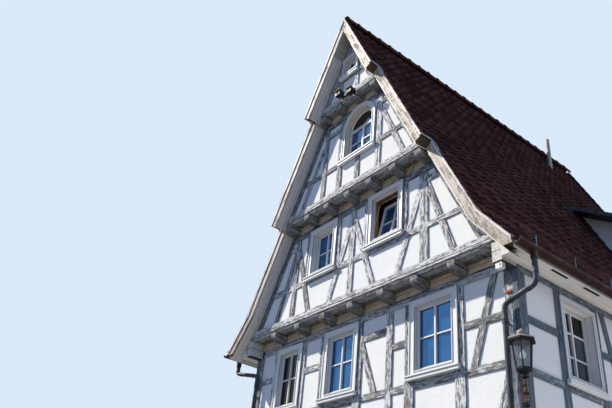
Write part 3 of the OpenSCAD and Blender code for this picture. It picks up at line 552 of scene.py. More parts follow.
def plaster_finish(name, colour, stain, edge_grime_and_shade):
    """Lime plaster with trowel marks and faint rain streaks, darker at its edges with grime and
    painted shade, and greyed as painted shade on faces towards the key light.
    """
    f = Finish(name, Specular_IOR_Level=0.15, Roughness=0.92)
    wide, fine = f.patches(1.3, 0.52, 0.2), f.patches(22.0, 0.5, 0.3)
    # Stains in patches and rain streaks; grime and painted shade at the edges.
    made = f.layers(colour, (wide["Mask"] * 0.35, stain), (f.rain(0.62, 0.16) * 0.30, stain),
                    (f.crevice(0.05, edge_grime_and_shade), rgb(0.34, 0.33, 0.31)))
    return f.done(fine["Cloud"] + wide["Cloud"] * 4.0, 0.003, Base_Color=greyed_towards_key_light(f, made))


def paint_finish(name, paint, under, level, axis):
    """White paint on boards, flaking to the wood where the level is passed, with grime in patches,
    grime and painted shade in its hollows, and greyed as painted shade on faces towards the key
    light.
    """
    f = Finish(name, Specular_IOR_Level=0.25)
    fibres = f.fibres(axis)
    worn = f.patches(1.0, level, 0.03, f.stretched(fibres, (2.0, 22.0, 22.0)))["Mask"]
    grime = f.patches(1.7, 0.56, 0.2)["Mask"]
    # Grime in patches and flaked paint; grime and painted shade in the hollows.
    colour = f.layers(paint, (grime * 0.2, dimmed(paint, 0.7)), (worn, under),
                      (f.crevice(0.03, 0.6), rgb(0.20, 0.20, 0.21)))
    return f.done(f.grain(fibres, 0.66)["Height"] - worn, 0.002,
                  Base_Color=greyed_towards_key_light(f, colour), Roughness=worn * 0.35 + 0.5)


def verge_finish():
    """Verge boards: a white strip on top, a dark line painted as the shadow under it, then a white
    board that peels to tan wood, lighter again along its lower edge. Faces that look down, the sawn
    ends among them, are dark brown: bare wood, darkened as painted shade."""
    f = Finish("verge_paint", Specular_IOR_Level=0.15)
    fibres, depth = down_slope(f), depth_under_tiles(f)

    def band(low, high):
        return depth.step(low, low + 0.008) - depth.step(high - 0.008, high)
    grain = f.grain(fibres, 0.60)
    worn = f.flakes(fibres, 0.56, long=2.6, wide=17.0)
    tan = f.flakes(fibres, 0.47, 0.08, long=0.9, wide=9.0)
    wood = f.mix(grain["Fibre"], rgb(0.17, 0.145, 0.125), rgb(0.40, 0.36, 0.32))
    board = f.layers(rgb(0.60, 0.56, 0.52), (tan * band(0.085, 0.160), rgb(0.48, 0.38, 0.29)),
                     (worn * 0.85, wood), (grain["Crack"] * 0.6, rgb(0.10, 0.085, 0.075)),
                     (abs(f.parts[0]).step(2.7, 3.6) * 0.5, rgb(0.42, 0.35, 0.29)))
    strip = f.mix(worn * 0.45, rgb(0.70, 0.68, 0.66), rgb(0.36, 0.33, 0.30))
    # Painted shadow: the dark band under the strip. Painted shade: bare wood, dark brown, on faces
    # that look down.
    colour = f.layers(strip, (depth.step(0.032, 0.036), board),
                      (band(0.046, 0.064) * 0.7, rgb(0.10, 0.09, 0.085)),
                      (band(0.157, 0.173) * 0.6, rgb(0.13, 0.11, 0.10)),
                      (f.facing("Down"), rgb(0.12, 0.075, 0.05)))
    return f.done(grain["Height"] - worn, 0.004, Base_Color=colour,
                  Roughness=worn * 0.3 + 0.58)


def eaves_finish():
    """Eaves: boards painted white, and the flecked beam end at the front corner, its underside dark
    blue as painted shade; grime and painted shade in the hollows.
    """
    f = Finish("eaves_paint", Specular_IOR_Level=0.1, Roughness=0.7)
    fibres, parts = f.fibres("Y"), f.parts
    grain, out = f.grain(fibres, 0.66), abs(parts[0])
    worn = f.flakes(fibres, 0.66, long=2.0, wide=14.0)
    joint = 1.0 - out.math("PINGPONG", 0.047).step(0.0015, 0.0035)
    paint = f.layers(rgb(0.72, 0.70, 0.67), (grain["Streak"], rgb(0.82, 0.80, 0.775)),
                     (worn * 0.7, rgb(0.36, 0.33, 0.29)), (joint * 0.5, rgb(0.16, 0.15, 0.14)))
    seam = 1.0 - abs(parts[2] - (SILL[1] - 0.155)).step(0.003, 0.009)
    # The flecked beam end with a dark seam, and painted shade, dark blue, on its underside.
    beam = f.layers(rgb(0.36, 0.33, 0.30),
                    (f.patches(48.0, 0.46, 0.10)["Mask"], rgb(0.74, 0.72, 0.70)),
                    (seam, rgb(0.05, 0.045, 0.045)), (f.facing("Down"), rgb(0.05, 0.055, 0.07)))
    corner = out.math("LESS_THAN", HALF_W + 0.002) * parts[1].math("LESS_THAN", FRONT + 0.001)
    # Grime and painted shade in the hollows.
    colour = f.layers(paint, (corner, beam), (f.crevice(0.06, 0.6), rgb(0.14, 0.14, 0.14)))
    return f.done(grain["Height"], 0.002, Base_Color=colour)


def clay_finish(name, colour, light, moss):
    """Old clay tiles: each with its own tone, weathered in patches, nearly black in their gaps and
    laps as painted shade.
    """
    f = Finish(name, Specular_IOR_Level=0.0)
    near = f.patches(9.0, 0.5, 0.16)
    made = f.layers(colour, (near["Mask"] * 0.6, light),
                    (f.patches(0.7, 0.5, 0.16)["Mask"] * 0.35, moss),
                    (abs(f.parts[0]).step(1.8, 3.9) * 0.55, light),
                    (f.patches(34.0, 0.66, 0.03)["Mask"] * 0.35, rgb(0.16, 0.13, 0.11)))
    # Painted shade: nearly black in the tiles' gaps and laps.
    made = f.mix(f.crevice(0.07, 1.0), f.toned(made, 0.7), rgb(0.005, 0.004, 0.004))
    return f.done(near["Cloud"], 0.004, Base_Color=made, Roughness=0.85 - near["Mask"] * 0.25)


def metal_finish(name, colour, aged, metallic, rough, shine=0.25):
    """Sheet metal and iron with aged patches and rain marks."""
    f = Finish(name, Metallic=metallic, Specular_IOR_Level=shine)
    patch = f.patches(6.0, 0.52, 0.14)
    spread = patch["Mask"].math("MAXIMUM", f.rain(0.58, 0.1))
    return f.done(patch["Cloud"], 0.002, Base_Color=f.mix(spread * 0.7, colour, aged),
                  Roughness=spread * 0.25 + rough)


def stone_finish(name, colour, light):
    """Dressed sandstone, each block with its own tone, darker in its joints with grime and painted
    shade.
    """
    f = Finish(name, Specular_IOR_Level=0.2, Roughness=0.9)
    wide, fine = f.patches(3.5, 0.5, 0.2), f.patches(40.0, 0.55, 0.15)
    made = f.layers(colour, (wide["Mask"], light), (fine["Mask"] * 0.3, rgb(0.18, 0.16, 0.14)))
    # Grime and painted shade in the joints.
    made = f.mix(f.crevice(0.05, 0.8), f.toned(made, 0.5), rgb(0.10, 0.09, 0.08))
    return f.done(fine["Cloud"] + wide["Cloud"] * 2.0, 0.006, Base_Color=made)


def lamp_glass_finish():
    """Clear lantern panes, a little dusty."""
    f = Finish("lamp_glass", Metallic=0.0, Transmission_Weight=0.92, IOR=1.2)
    dust = f.patches(7.0, 0.55, 0.25)["Mask"]
    return f.done(Base_Color=f.mix(dust, rgb(0.86, 0.91, 0.94), rgb(0.66, 0.72, 0.76)),
                  Roughness=dust * 0.2)


SPRING = ARCHED["z"] + ARCHED["h"]
LUNETTE = SPRING - 0.9 * ARCHED["x"] + 0.04


def glass_finish(name, sky, dim):
    """Old glass, slightly wavy. Its colour is a painted reflection of a blue sky, fuller higher up
    and in wavy patches and darker in other patches; the panes at the left and on the sides show a
    dim room, painted as shade. A blind hangs in the arched window, and cloth in the side windows of
    the storey, its folds in painted shade."""
    f = Finish(name, Metallic=0.6, Roughness=0.05, Transmission_Weight=0.15, IOR=1.45)
    wave, parts = f.patches(4.0, 0.5, 0.25), f.parts
    x, z = parts[0], parts[2]
    side = x.step(3.2, 3.3)
    # Painted reflection: the sky's colour, fuller higher up and in wavy patches.
    fuller_reflection = (z.step(STOREY_Z + 0.1, STOREY_Z + 0.9) * 0.8).math("MAXIMUM", wave["Mask"])
    # Painted shade: the dim room behind the panes at the left and on the sides.
    room_panes = (x * -1.0).step(1.7, 2.0).math("MAXIMUM", side)
    # The cloth's folds in painted shade.
    folds = f.noise(f.stretched(f.place, (4.0, 26.0, 1.0)), 1.0, 3.0, 0.5)
    cloth = f.mix(folds, rgb(0.09, 0.10, 0.115), rgb(0.19, 0.205, 0.23))
    blind = (z - x * 0.9).step(LUNETTE, LUNETTE + 0.02) * z.step(SPRING, SPRING + 0.01)
    # Painted reflections, darker in patches.
    made = f.layers(dimmed(sky, 0.8), (fuller_reflection, sky),
                    (f.patches(1.1, 0.5, 0.12)["Mask"] * 0.12, dimmed(sky, 0.45)), (room_panes, dim),
                    ((1.0 - z.step(STOREY_Z + 0.62, STOREY_Z + 0.66)) * side, cloth),
                    (blind * z.math("LESS_THAN", SPRING + ARCHED["w"]),
                     rgb(0.045, 0.026, 0.017)))
    return f.done(wave["Cloud"], 0.001, Base_Color=made)


def roof_slab_finish():
    """Roof slab: boards where it faces down, clay where it faces up."""
    f = Finish("roof_slab", Specular_IOR_Level=0.2, Roughness=0.85)
    grain = f.grain(f.fibres("Y"), 0.64)
    facing = f.add("SeparateXYZ", {0: f.add("NewGeometry")["True Normal"]})
    boards = f.mix(grain["Fibre"], rgb(0.30, 0.28, 0.25), rgb(0.52, 0.50, 0.46))
    sawn = f.mix(grain["Fibre"], rgb(0.05, 0.032, 0.022), rgb(0.13, 0.085, 0.055))
    colour = f.layers(boards, (facing["Z"].step(0.0, 0.05), rgb(0.05, 0.026, 0.022)),
                      (f.facing("Down"), sawn))
    return f.done(grain["Height"], 0.002, Base_Color=colour)


def stage_finish():
    """Pale to the eye, and darker to the light that it sends back up."""
    f = Finish("plain_floor", Roughness=0.9, Specular_IOR_Level=0.0)
    seen = f.add("LightPath")["Is Camera Ray"]
    return f.done(Base_Color=f.mix(seen, rgb(0.20, 0.20, 0.195), rgb(0.50, 0.505, 0.49)))


WHITE = rgb(0.80, 0.80, 0.79)
CRACK = rgb(0.035, 0.034, 0.036)
FACE_WOOD = (rgb(0.36, 0.36, 0.365), rgb(0.165, 0.163, 0.167), CRACK, rgb(0.26, 0.17, 0.11))
SILL_WOOD = (rgb(0.45, 0.45, 0.45), rgb(0.20, 0.195, 0.195), CRACK, rgb(0.30, 0.20, 0.13))
JOIST_WOOD = (rgb(0.40, 0.395, 0.39), rgb(0.17, 0.17, 0.172), rgb(0.032, 0.031, 0.032),
              rgb(0.30, 0.22, 0.15))
SIDE_WOOD = (rgb(0.185, 0.225, 0.265), rgb(0.105, 0.135, 0.17), rgb(0.025, 0.03, 0.038),
             rgb(0.15, 0.14, 0.13))
BROWN_WOOD = (rgb(0.15, 0.085, 0.048), rgb(0.10, 0.055, 0.032), rgb(0.03, 0.02, 0.014),
              rgb(0.17, 0.10, 0.055))
TAN_WOOD = (rgb(0.74, 0.59, 0.41), rgb(0.58, 0.45, 0.31), rgb(0.12, 0.09, 0.06),
            rgb(0.40, 0.27, 0.16))
VARNISHED = (rgb(0.50, 0.24, 0.09), rgb(0.34, 0.15, 0.05), rgb(0.08, 0.04, 0.02),
             rgb(0.42, 0.19, 0.07))
TIMBER_FACES = timber_finish("weathered_timber_faces", "own", FACE_WOOD, rgb(0.73, 0.735, 0.75),
                             0.50, toned=True, painted_shade_amount=1.3)
TIMBER_X = timber_finish("weathered_sills", "X", SILL_WOOD, rgb(0.76, 0.765, 0.775), 0.455,
                         cracks=0.62, painted_shade_amount=0.3)
TIMBER_Y = timber_finish("weathered_joists", "Y", JOIST_WOOD, rgb(0.50, 0.485, 0.45), 0.53)
TIMBER_SIDE = timber_finish("painted_side_timber", "own", SIDE_WOOD, rgb(0.34, 0.385, 0.43),
                            0.57, cracks=0.62, toned=True, rough=0.75)
TAN_BOARDS = timber_finish("tan_boards", "own", TAN_WOOD, rgb(0.76, 0.66, 0.50), 0.58)
INNER_WOOD = timber_finish("varnished_wood", "own", VARNISHED, rgb(0.55, 0.29, 0.12), 0.60,
                           rough=0.5)
DOOR_WOOD = timber_finish("door_wood", "Z", BROWN_WOOD, rgb(0.19, 0.115, 0.065), 0.60,
                          cracks=0.66, rough=0.6)
PLASTER = plaster_finish("lime_plaster", rgb(0.85, 0.85, 0.845), rgb(0.76, 0.76, 0.76), 0.6)
GROUND_PLASTER = plaster_finish("ground_floor_plaster", rgb(0.76, 0.75, 0.72),
                                rgb(0.60, 0.59, 0.56), 0.6)
WINDOW_PAINT = paint_finish("window_paint", WHITE, rgb(0.46, 0.33, 0.22), 0.76, "Z")
REVEAL_PAINT = paint_finish("reveal_paint", rgb(0.74, 0.66, 0.56), rgb(0.42, 0.30, 0.20), 0.66,
                            "Z")
BOARD_PAINT = paint_finish("verge_board_paint", rgb(0.70, 0.68, 0.65), rgb(0.46, 0.41, 0.35),
                           0.62, "own")
VERGE_PAINT = verge_finish()
EAVES_PAINT = eaves_finish()
CLAY = clay_finish("clay_tiles", rgb(0.072, 0.034, 0.031), rgb(0.142, 0.055, 0.045),
                   rgb(0.036, 0.025, 0.020))
EDGE_CLAY = clay_finish("verge_tile_edges", rgb(0.36, 0.20, 0.16), rgb(0.44, 0.22, 0.17),
                        rgb(0.24, 0.14, 0.11))
COPPER = metal_finish("brown_copper", rgb(0.050, 0.018, 0.014), rgb(0.028, 0.013, 0.011), 0.0,
                      0.5)
ZINC = metal_finish("dull_zinc", rgb(0.060, 0.070, 0.088), rgb(0.035, 0.040, 0.050), 0.2, 0.5)
PALE_ZINC = metal_finish("pale_zinc", rgb(0.34, 0.35, 0.36), rgb(0.22, 0.22, 0.22), 0.1, 0.5)
FLASHING = metal_finish("lead_flashing", rgb(0.40, 0.45, 0.52), rgb(0.26, 0.29, 0.34), 0.1, 0.5)
STEEL = metal_finish("flue_steel", rgb(0.37, 0.355, 0.325), rgb(0.30, 0.285, 0.26), 0.1, 0.5)
IRON = metal_finish("black_iron", rgb(0.022, 0.021, 0.022), rgb(0.040, 0.032, 0.027), 0.0, 0.5,
                    shine=0.12)
BRONZE = metal_finish("brown_bronze", rgb(0.22, 0.115, 0.065), rgb(0.05, 0.032, 0.022), 0.2, 0.4)
CAP_METAL = metal_finish("lantern_cap_metal", rgb(0.40, 0.35, 0.33), rgb(0.20, 0.17, 0.16), 0.0,
                         0.5)
RUSTY = metal_finish("rusty_bracket", rgb(0.50, 0.13, 0.045), rgb(0.30, 0.08, 0.03), 0.0, 0.6)
RUST_BROWN = metal_finish("rusty_rails", rgb(0.20, 0.075, 0.040), rgb(0.11, 0.045, 0.028), 0.0,
                          0.6)
DARK_MESH = metal_finish("vent_mesh_and_shade_sheet", rgb(0.012, 0.012, 0.012), rgb(0.02, 0.018, 0.016), 0.0,
                         0.7)
STONE = stone_finish("plinth_stone", rgb(0.33, 0.29, 0.24), rgb(0.46, 0.42, 0.36))
GLASS = glass_finish("window_glass", rgb(0.064, 0.205, 0.45), rgb(0.028, 0.026, 0.028))
LAMP_GLASS = lamp_glass_finish()
FROSTED = Finish("frosted_bulb", Base_Color=rgb(0.85, 0.86, 0.88), Roughness=0.35).material
SLAB = roof_slab_finish()

# How the CAD's node names start, for each finish. The first that fits is taken.
CAD_FINISHES = [
    (STONE, "ground_slab plinth"), (GROUND_PLASTER, "ground_wall"), (DOOR_WOOD, "entrance_door"),
    (TIMBER_Y, "first_floor attic_floor upper_attic_floor top_attic_floor"),
    (TIMBER_X, "storey_frame gable_frame back_gable_frame"),
    (PLASTER, "storey_panels gable_panels back_gable_panels dormer_walls"),
    (SLAB, "roof_left roof_right"), (CLAY, "ridge_cap"), (VERGE_PAINT, "verge"),
    (EAVES_PAINT, "eaves"), (COPPER, "gutters"), (ZINC, "downpipes dormer_roof"),
    (STEEL, "flue_pipe"), (WINDOW_PAINT, "windows"), (GLASS, "glass"),
    (LAMP_GLASS, "lantern_glass"), (IRON, "lantern snow_guard gable_lamps")]


def finish_cad_nodes():
    for name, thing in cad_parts.items():
        chosen = next(finish for finish, starts in CAD_FINISHES
                      if name.startswith(tuple(starts.split())))
        for place in thing.material_slots:
            place.material = chosen


finish_cad_nodes()


# ---------------------------------------------------------------- mesh tools

class Joined:
    """Many like parts in one mesh. Each part brings its own tone, and its own grain vectors."""

    def __init__(self):
        self.points = []
        self.faces = []
        self.grain = []
        self.tone = []

    def add(self, points, faces, grain=None, tone=0.5):
        first = len(self.points)
        self.points += [Vector(p) for p in points]
        self.faces += [[first + k for k in face] for face in faces]
        self.grain += grain or [Vector((0, 0, 0))] * len(points)
        self.tone += [tone] * len(points)

    def make(self, name, material, slot, smooth=False):
        mesh = bpy.data.meshes.new(name)
        mesh.from_pydata(self.points, [], self.faces)
        work = bmesh.new()
        work.from_mesh(mesh)
        bmesh.ops.recalc_face_normals(work, faces=work.faces)
        work.to_mesh(mesh)
        work.free()
        mesh.attributes.new("grain", "FLOAT_VECTOR", "POINT")
        mesh.attributes.new("tone", "FLOAT", "POINT")
        mesh.attributes["grain"].data.foreach_set("vector", [c for v in self.grain for c in v])
        mesh.attributes["tone"].data.foreach_set("value", self.tone)
        for face in mesh.polygons:
            face.use_smooth = smooth
        if smooth:
            mesh.set_sharp_from_angle(angle=math.radians(38))
        mesh.materials.append(material)
        piece = put(bpy.data.objects.new(name, mesh))
        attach(piece, "root")
        return piece


BOX_FACES = [[0, 1, 3, 2], [4, 6, 7, 5], [0, 4, 5, 1], [2, 3, 7, 6], [0, 2, 6, 4], [1, 5, 7, 3]]


def skin(rows, n, ring=True, closed=False):
    """Faces between rows of n points each: a ring joins a row's ends, and closed joins the last
    row to the first."""
    faces = []
    for r in range(rows if closed else rows - 1):
        up = (r + 1) % rows * n
        for k in range(n if ring else n - 1):
            beside = (k + 1) % n
            faces.append([r * n + k, r * n + beside, up + beside, up + k])
    return faces


def capped(rows, n):
    """The faces of a closed tube: its skin and both its ends."""
    last = (rows - 1) * n
    return skin(rows, n) + [list(range(n))[::-1], [last + k for k in range(n)]]


def box_at(joined, place, us, vs, ws, grain=None, tone=0.5):
    """A box whose corners a function places from three pairs of measures."""
    joined.add([place(u, v, w) for u in us for v in vs for w in ws], BOX_FACES, grain, tone)


def tube_on(joined, path, radius, sides=10, tone=0.5):
    """A round bar along a path of points, of one radius or of one for each point."""
    path = [Vector(p) for p in path]
    radii = radius if isinstance(radius, list) else [radius] * len(path)
    across, points = None, []
    for k, p in enumerate(path):
        ahead = (path[min(k + 1, len(path) - 1)] - path[max(k - 1, 0)]).normalized()
        across = across or ahead.orthogonal()
        across = (across - ahead * across.dot(ahead)).normalized()
        other = ahead.cross(across)
        for j in range(sides):
            a = 2 * math.pi * (j + 0.5) / sides
            points.append(p + (across * math.cos(a) + other * math.sin(a)) * radii[k])
    joined.add(points, capped(len(path), sides), None, tone)


def rounded(corners, radius, steps=8):
    """A path through corners, with each bend drawn as a curve."""
    corners = [Vector(c) for c in corners]
    path = [corners[0]]
    for a, b, c in zip(corners, corners[1:], corners[2:]):
        into, away = (b - a).normalized(), (c - b).normalized()
        cut = min(radius * math.tan(into.angle(away) / 2), 0.45 * (b - a).length,
                  0.45 * (c - b).length)
        start, end = b - into * cut, b + away * cut
        for k in range(steps + 1):
            t = k / steps
            path.append(start.lerp(b, t).lerp(b.lerp(end, t), t))
    return path + [corners[-1]]


def turned(joined, centre, profile, sides=12):
    """A turned piece on an upright axis: the profile gives each height and radius."""
    tube_on(joined, [Vector(centre) + UP * z for z, r in profile], [r for z, r in profile], sides)


def clip(shape, a, b):
    """The part of a convex outline on the left of the line from a to b."""
    def side(p):
        return (b[0] - a[0]) * (p[1] - a[1]) - (b[1] - a[1]) * (p[0] - a[0])
    kept = []
    for k, p in enumerate(shape):
        q = shape[(k + 1) % len(shape)]
        sp, sq = side(p), side(q)
        if sp >= 0:
            kept.append(p)
        if sp * sq < 0:
            t = sp / (sp - sq)
            kept.append((p[0] + t * (q[0] - p[0]), p[1] + t * (q[1] - p[1])))
    return kept


def area(shape):
    return 0.5 * sum(shape[k - 1][0] * p[1] - p[0] * shape[k - 1][1]
                     for k, p in enumerate(shape))


def sides_of(low, high):
    """The four sides of a rectangle, from corner to corner."""
    corners = [(low[0], low[1]), (high[0], low[1]), (high[0], high[1]), (low[0], high[1])]
    return list(zip(corners, corners[1:] + corners[:1]))


def keep_inside(shape, low, high):
    """A convex outline cut to a rectangle."""
    for a, b in sides_of(low, high):
        shape = clip(shape, a, b)
    return shape


def keep_outside(shape, low, high):
    """The convex pieces of an outline outside a rectangle."""
    found, rest = [], shape
    for a, b in sides_of(low, high):
        beyond = clip(rest, b, a)
        if len(beyond) > 2 and area(beyond) > 1e-4:
            found.append(beyond)
        rest = clip(rest, a, b)
        if len(rest) < 3:
            break
    return found


def bar(x0, z0, x1, z1, width):
    """A straight timber: its outline and the way it runs."""
    run = Vector((x1 - x0, z1 - z0)).normalized()
    across = Vector((-run.y, run.x)) * width / 2
    ends = [Vector((x0, z0)), Vector((x1, z1))]
    outline = [ends[0] - across, ends[1] - across, ends[1] + across, ends[0] + across]
    return [tuple(p) for p in outline], run


# ---------------------------------------------------------------- timber faces

class Framing:
    """The timbers of one wall, drawn as outlines, each a little in front of the wall."""

    SURE = 0.007

    def __init__(self, wall, low, high, windows, under_roof=False):
        self.wall, self.low, self.high = wall, low, high
        self.windows, self.under_roof = windows, under_roof
        self.faces, self.pegs = [], []

    def lay(self, outline, run, layer, tone=None):
        shapes = [keep_inside(outline, self.low, self.high)]
        if self.under_roof and shapes[0]:
            apex = RIDGE[1] - ROOF_T * STEEP_N - 0.004
            shapes = [clip(clip(shapes[0], (1.0, apex - STEEP), (0.0, apex)),
                           (0.0, apex), (-1.0, apex - STEEP))]
        for w in self.windows:
            hole_low = (w["x"] - w["w"] / 2 - LINING - 0.01, w["z"] - LINING - 0.01)
            top = w["z"] + w["h"] + (w["w"] / 2 if w["arch"] else 0)
            hole_high = (w["x"] + w["w"] / 2 + LINING + 0.01, top + LINING + 0.01)
            shapes = [part for s in shapes if len(s) > 2
                      for part in keep_outside(s, hole_low, hole_high)]
        own, shift = rng.random(), rng.random() * 40
        tone = own if tone is None else tone
        for s in shapes:
            if len(s) > 2 and abs(area(s)) > 2e-4:
                self.faces.append((s, run, layer, tone, shift))

    def post(self, x, width, z0, z1, tone=None):
        self.lay(*bar(x, z0, x, z1, width), 2, tone)
        for z in (z0 + 0.32, z1 - 0.09):
            self.pegs += [(x - 0.03, z), (x + 0.03, z + 0.012)]

    def rail(self, x0, x1, z, height=RAIL, layer=1):
        self.lay(*bar(x0, z, x1, z, height), layer)

    def beam(self, z, height=RAIL, layer=1):
        """A rail from end to end of the wall."""
        self.rail(self.low[0], self.high[0], z, height, layer)

    def brace(self, x0, z0, x1, z1, width=BRACE):
        self.lay(*bar(x0, z0, x1, z1, width), 0)
        self.pegs += [(x0 * 0.86 + x1 * 0.14, z0 * 0.86 + z1 * 0.14),
                      (x0 * 0.12 + x1 * 0.88, z0 * 0.12 + z1 * 0.88)]

    def figure(self, x, width, z0, z1, spread, head):
        self.post(x, width, z0, z1)
        for s in (-1, 1):
            self.brace(x + s * spread, z0 - BRACE, x + s * width / 4, head)

    def jambs(self, windows, z0, z1):
        for w in windows:
            inner, outer = w["w"] / 2 + LINING, w["w"] / 2 + w["band"] + JAMB
            for s in (-1, 1):
                x = w["x"] + s * (inner + outer) / 2
                self.lay(*bar(x, z0, x, z1, outer - inner), 2)

    def rafters(self):
        depth = ROOF_T + RAFTER / 2
        for s in (-1, 1):
            x0, z0 = KINK[0] + 0.3, RIDGE[1] - STEEP * (KINK[0] + 0.3) - depth * STEEP_N
            self.lay(*bar(s * x0, z0, 0, RIDGE[1] - depth * STEEP_N, RAFTER), 3)

    def add_to(self, joined):
        """Each timber as a thin board with worn edges."""
        for shape, run, layer, tone, shift in self.faces:
            outline = worn_outline(shape)
            if area(outline) < 0:
                outline.reverse()
            proud = self.SURE + layer * 0.0012
            rings = [(0.0, -0.003), (0.0, proud - 0.002), (0.005, proud)]
            points, grain = [], []
            for inset, height in rings:
                for p in inset_outline(outline, inset):
                    points.append(self.wall.at(p[0], p[1], height))
                    grain.append(Vector((p[0] * run.x + p[1] * run.y + shift,
                                         p[1] * run.x - p[0] * run.y + shift, height)))
            joined.add(points, capped(len(rings), len(outline)), grain, tone)

    def add_pegs_to(self, joined):
        for x, z in self.pegs:
            if not (self.low[0] + 0.03 < x < self.high[0] - 0.03
                    and self.low[1] < z < self.high[1]):
                continue
            if any(abs(x - w["x"]) < w["w"] / 2 + w["band"] + 0.03
                   and w["z"] - 0.25 < z < w["z"] + w["h"] + 0.6 for w in self.windows):
                continue
            if self.under_roof and z > RIDGE[1] - STEEP * abs(x) - (ROOF_T + 0.03) * STEEP_N:
                continue
            peg(joined, self.wall, x, z)


def peg(joined, wall, x, z, sides=7, radius=0.0115, proud=0.012):
    """A wooden peg's head, a little domed."""
    turn = rng.random() * 6.28
    ring = [(x + radius * math.cos(turn + 6.283 * k / sides),
             z + radius * math.sin(turn + 6.283 * k / sides)) for k in range(sides)]
    points = [wall.at(*p, 0.0) for p in ring] + [wall.at(*p, proud - 0.003) for p in ring]
    points += [wall.at(x, z, proud), wall.at(x, z, 0.0)]
    faces = []
    for k in range(sides):
        j = (k + 1) % sides
        faces += [[k, j, j + sides, k + sides], [k + sides, j + sides, 2 * sides],
                  [j, k, 2 * sides + 1]]
    grain = [Vector((x * 3, z * 3, 0))] * len(points)
    joined.add(points, faces, grain, 0.2 + 0.3 * rng.random())


def worn_outline(shape, step=0.24, wander=0.0035):
    """An outline with points along its long edges, each moved a little sideways."""
    made = []
    for k, p in enumerate(shape):
        q = shape[(k + 1) % len(shape)]
        length = math.hypot(q[0] - p[0], q[1] - p[1])
        if length < 0.004:
            continue
        made.append(p)
        parts = int(length / step)
        across = ((q[1] - p[1]) / length, -(q[0] - p[0]) / length)
        for j in range(1, parts + 1):
            t = j / (parts + 1)
            off = rng.uniform(-0.3, 1.0) * wander
            made.append((p[0] + t * (q[0] - p[0]) + off * across[0],
                         p[1] + t * (q[1] - p[1]) + off * across[1]))
    return made


def inset_outline(shape, inset):
    """An outline drawn in towards its middle by about the inset, edge by edge."""
    if inset == 0:
        return shape
    made, n = [], len(shape)
    for k in range(n):
        a, b, c = Vector(shape[k - 1]), Vector(shape[k]), Vector(shape[(k + 1) % n])
        u, v = (b - a).normalized(), (c - b).normalized()
        left_u, left_v = Vector((-u.y, u.x)), Vector((-v.y, v.x))
        middle = left_u + left_v
        if middle.length < 0.3:
            made.append(tuple(b))
            continue
        made.append(tuple(b + middle / max(0.6, middle.length_squared / 2) * inset))
    return made


PAINTED = 0.9


def storey_front(wall):
    top = SILL[1] - JOIST_H
    f = Framing(wall, (-HALF_W, SILL[0]), (HALF_W, top), FRONT_WINDOWS)
    breast = STOREY_Z - 0.23
    a, b, c = (w["x"] for w in FRONT_WINDOWS)
    f.beam(breast)
    f.rail(-HALF_W, a, STOREY_Z + 0.64)
    f.rail(a, b, STOREY_Z + 0.62)
    f.rail(b, 1.55 * BAY, STOREY_Z + 0.87)
    f.rail(1.55 * BAY, c, STOREY_Z + 0.54)
    f.rail(c, HALF_W, STOREY_Z + 0.51)
    f.brace(-0.1 * BAY, STOREY_Z + 0.98, 0.85 * BAY, breast)
    f.brace(6.25 * BAY, top, 5.2 * BAY, breast)
    f.brace(-6.6 * BAY, breast, -5.9 * BAY, SILL[0])
    f.brace(6.6 * BAY, breast, 5.9 * BAY, SILL[0])
    f.jambs(FRONT_WINDOWS, SILL[0], top)
    f.post(1.55 * BAY, POST, SILL[0], top)
    for s in (-1, 1):
        x = s * (HALF_W - CORNER / 2)
        f.post(x, CORNER, SILL[0], top, PAINTED)
        # Painted shade: the head of each corner post, under the jetty, laid again in the darkest
        # tone with less coat.
        f.lay(*bar(x, top - 0.44, x, top, CORNER), 3, 0.0)
    f.beam(top - PLATE / 2, PLATE, 3)
    f.beam(SILL[0] + SILL_H / 2, SILL_H, 3)
    return f


def corner_strips(wall):
    """The edge of each side wall's corner post, painted as the side is."""
    f = Framing(wall, (-HALF_W, SILL[0]), (HALF_W, SILL[1] - JOIST_H), [])
    for s in (-1, 1):
        x = s * (HALF_W - 0.045)
        f.lay(*bar(x, SILL[0], x, SILL[1], 0.09), 5)
    return f


def storey_side(wall):
    top = SILL[1] - JOIST_H
    f = Framing(wall, (FRONT, SILL[0]), (BACK, top), SIDE_WINDOWS)
    low_rail, high_rail = STOREY_Z - 0.365, STOREY_Z + 0.42
    f.beam(low_rail)
    f.beam(high_rail)
    for s in (-1, 1):
        f.brace(s * (BACK - 2.13), top, s * (BACK - 2.5), low_rail)
        f.brace(s * 0.5, top, s * 0.85, low_rail)
        f.post(s * (BACK - 0.08), 0.16, SILL[0], top)
    f.jambs(SIDE_WINDOWS, SILL[0], top)
    plate = PLATE + 0.06
    f.beam(top - plate / 2, plate, 3)
    f.beam(SILL[0] + SILL_H / 2, SILL_H, 3)
    return f


def gable_lower(wall):
    high = SILL[2] - JOIST_H
    rail_z = GABLE_Z - 0.13
    f = Framing(wall, (-HALF_W, SILL[1] + SILL_H), (HALF_W, high), LOWER_WINDOWS, True)
    f.beam(rail_z)
    f.rail(3.76 * BAY, HALF_W, SILL[1] + 1.87)
    f.rail(-HALF_W, -3.9 * BAY, SILL[1] + 1.87)
    for bays, width, spread, head in ((-3.9, POST, 1.36, 1.8), (-0.16, POST, 1.56, 1.85),
                                      (3.76, POST + 0.04, 1.56, 1.85)):
        f.figure(bays * BAY, width, SILL[1], high, spread * BAY, SILL[1] + head)
    f.jambs(LOWER_WINDOWS, rail_z, high)
    f.rafters()
    f.beam(high - PLATE / 2, PLATE, 4)
    return f


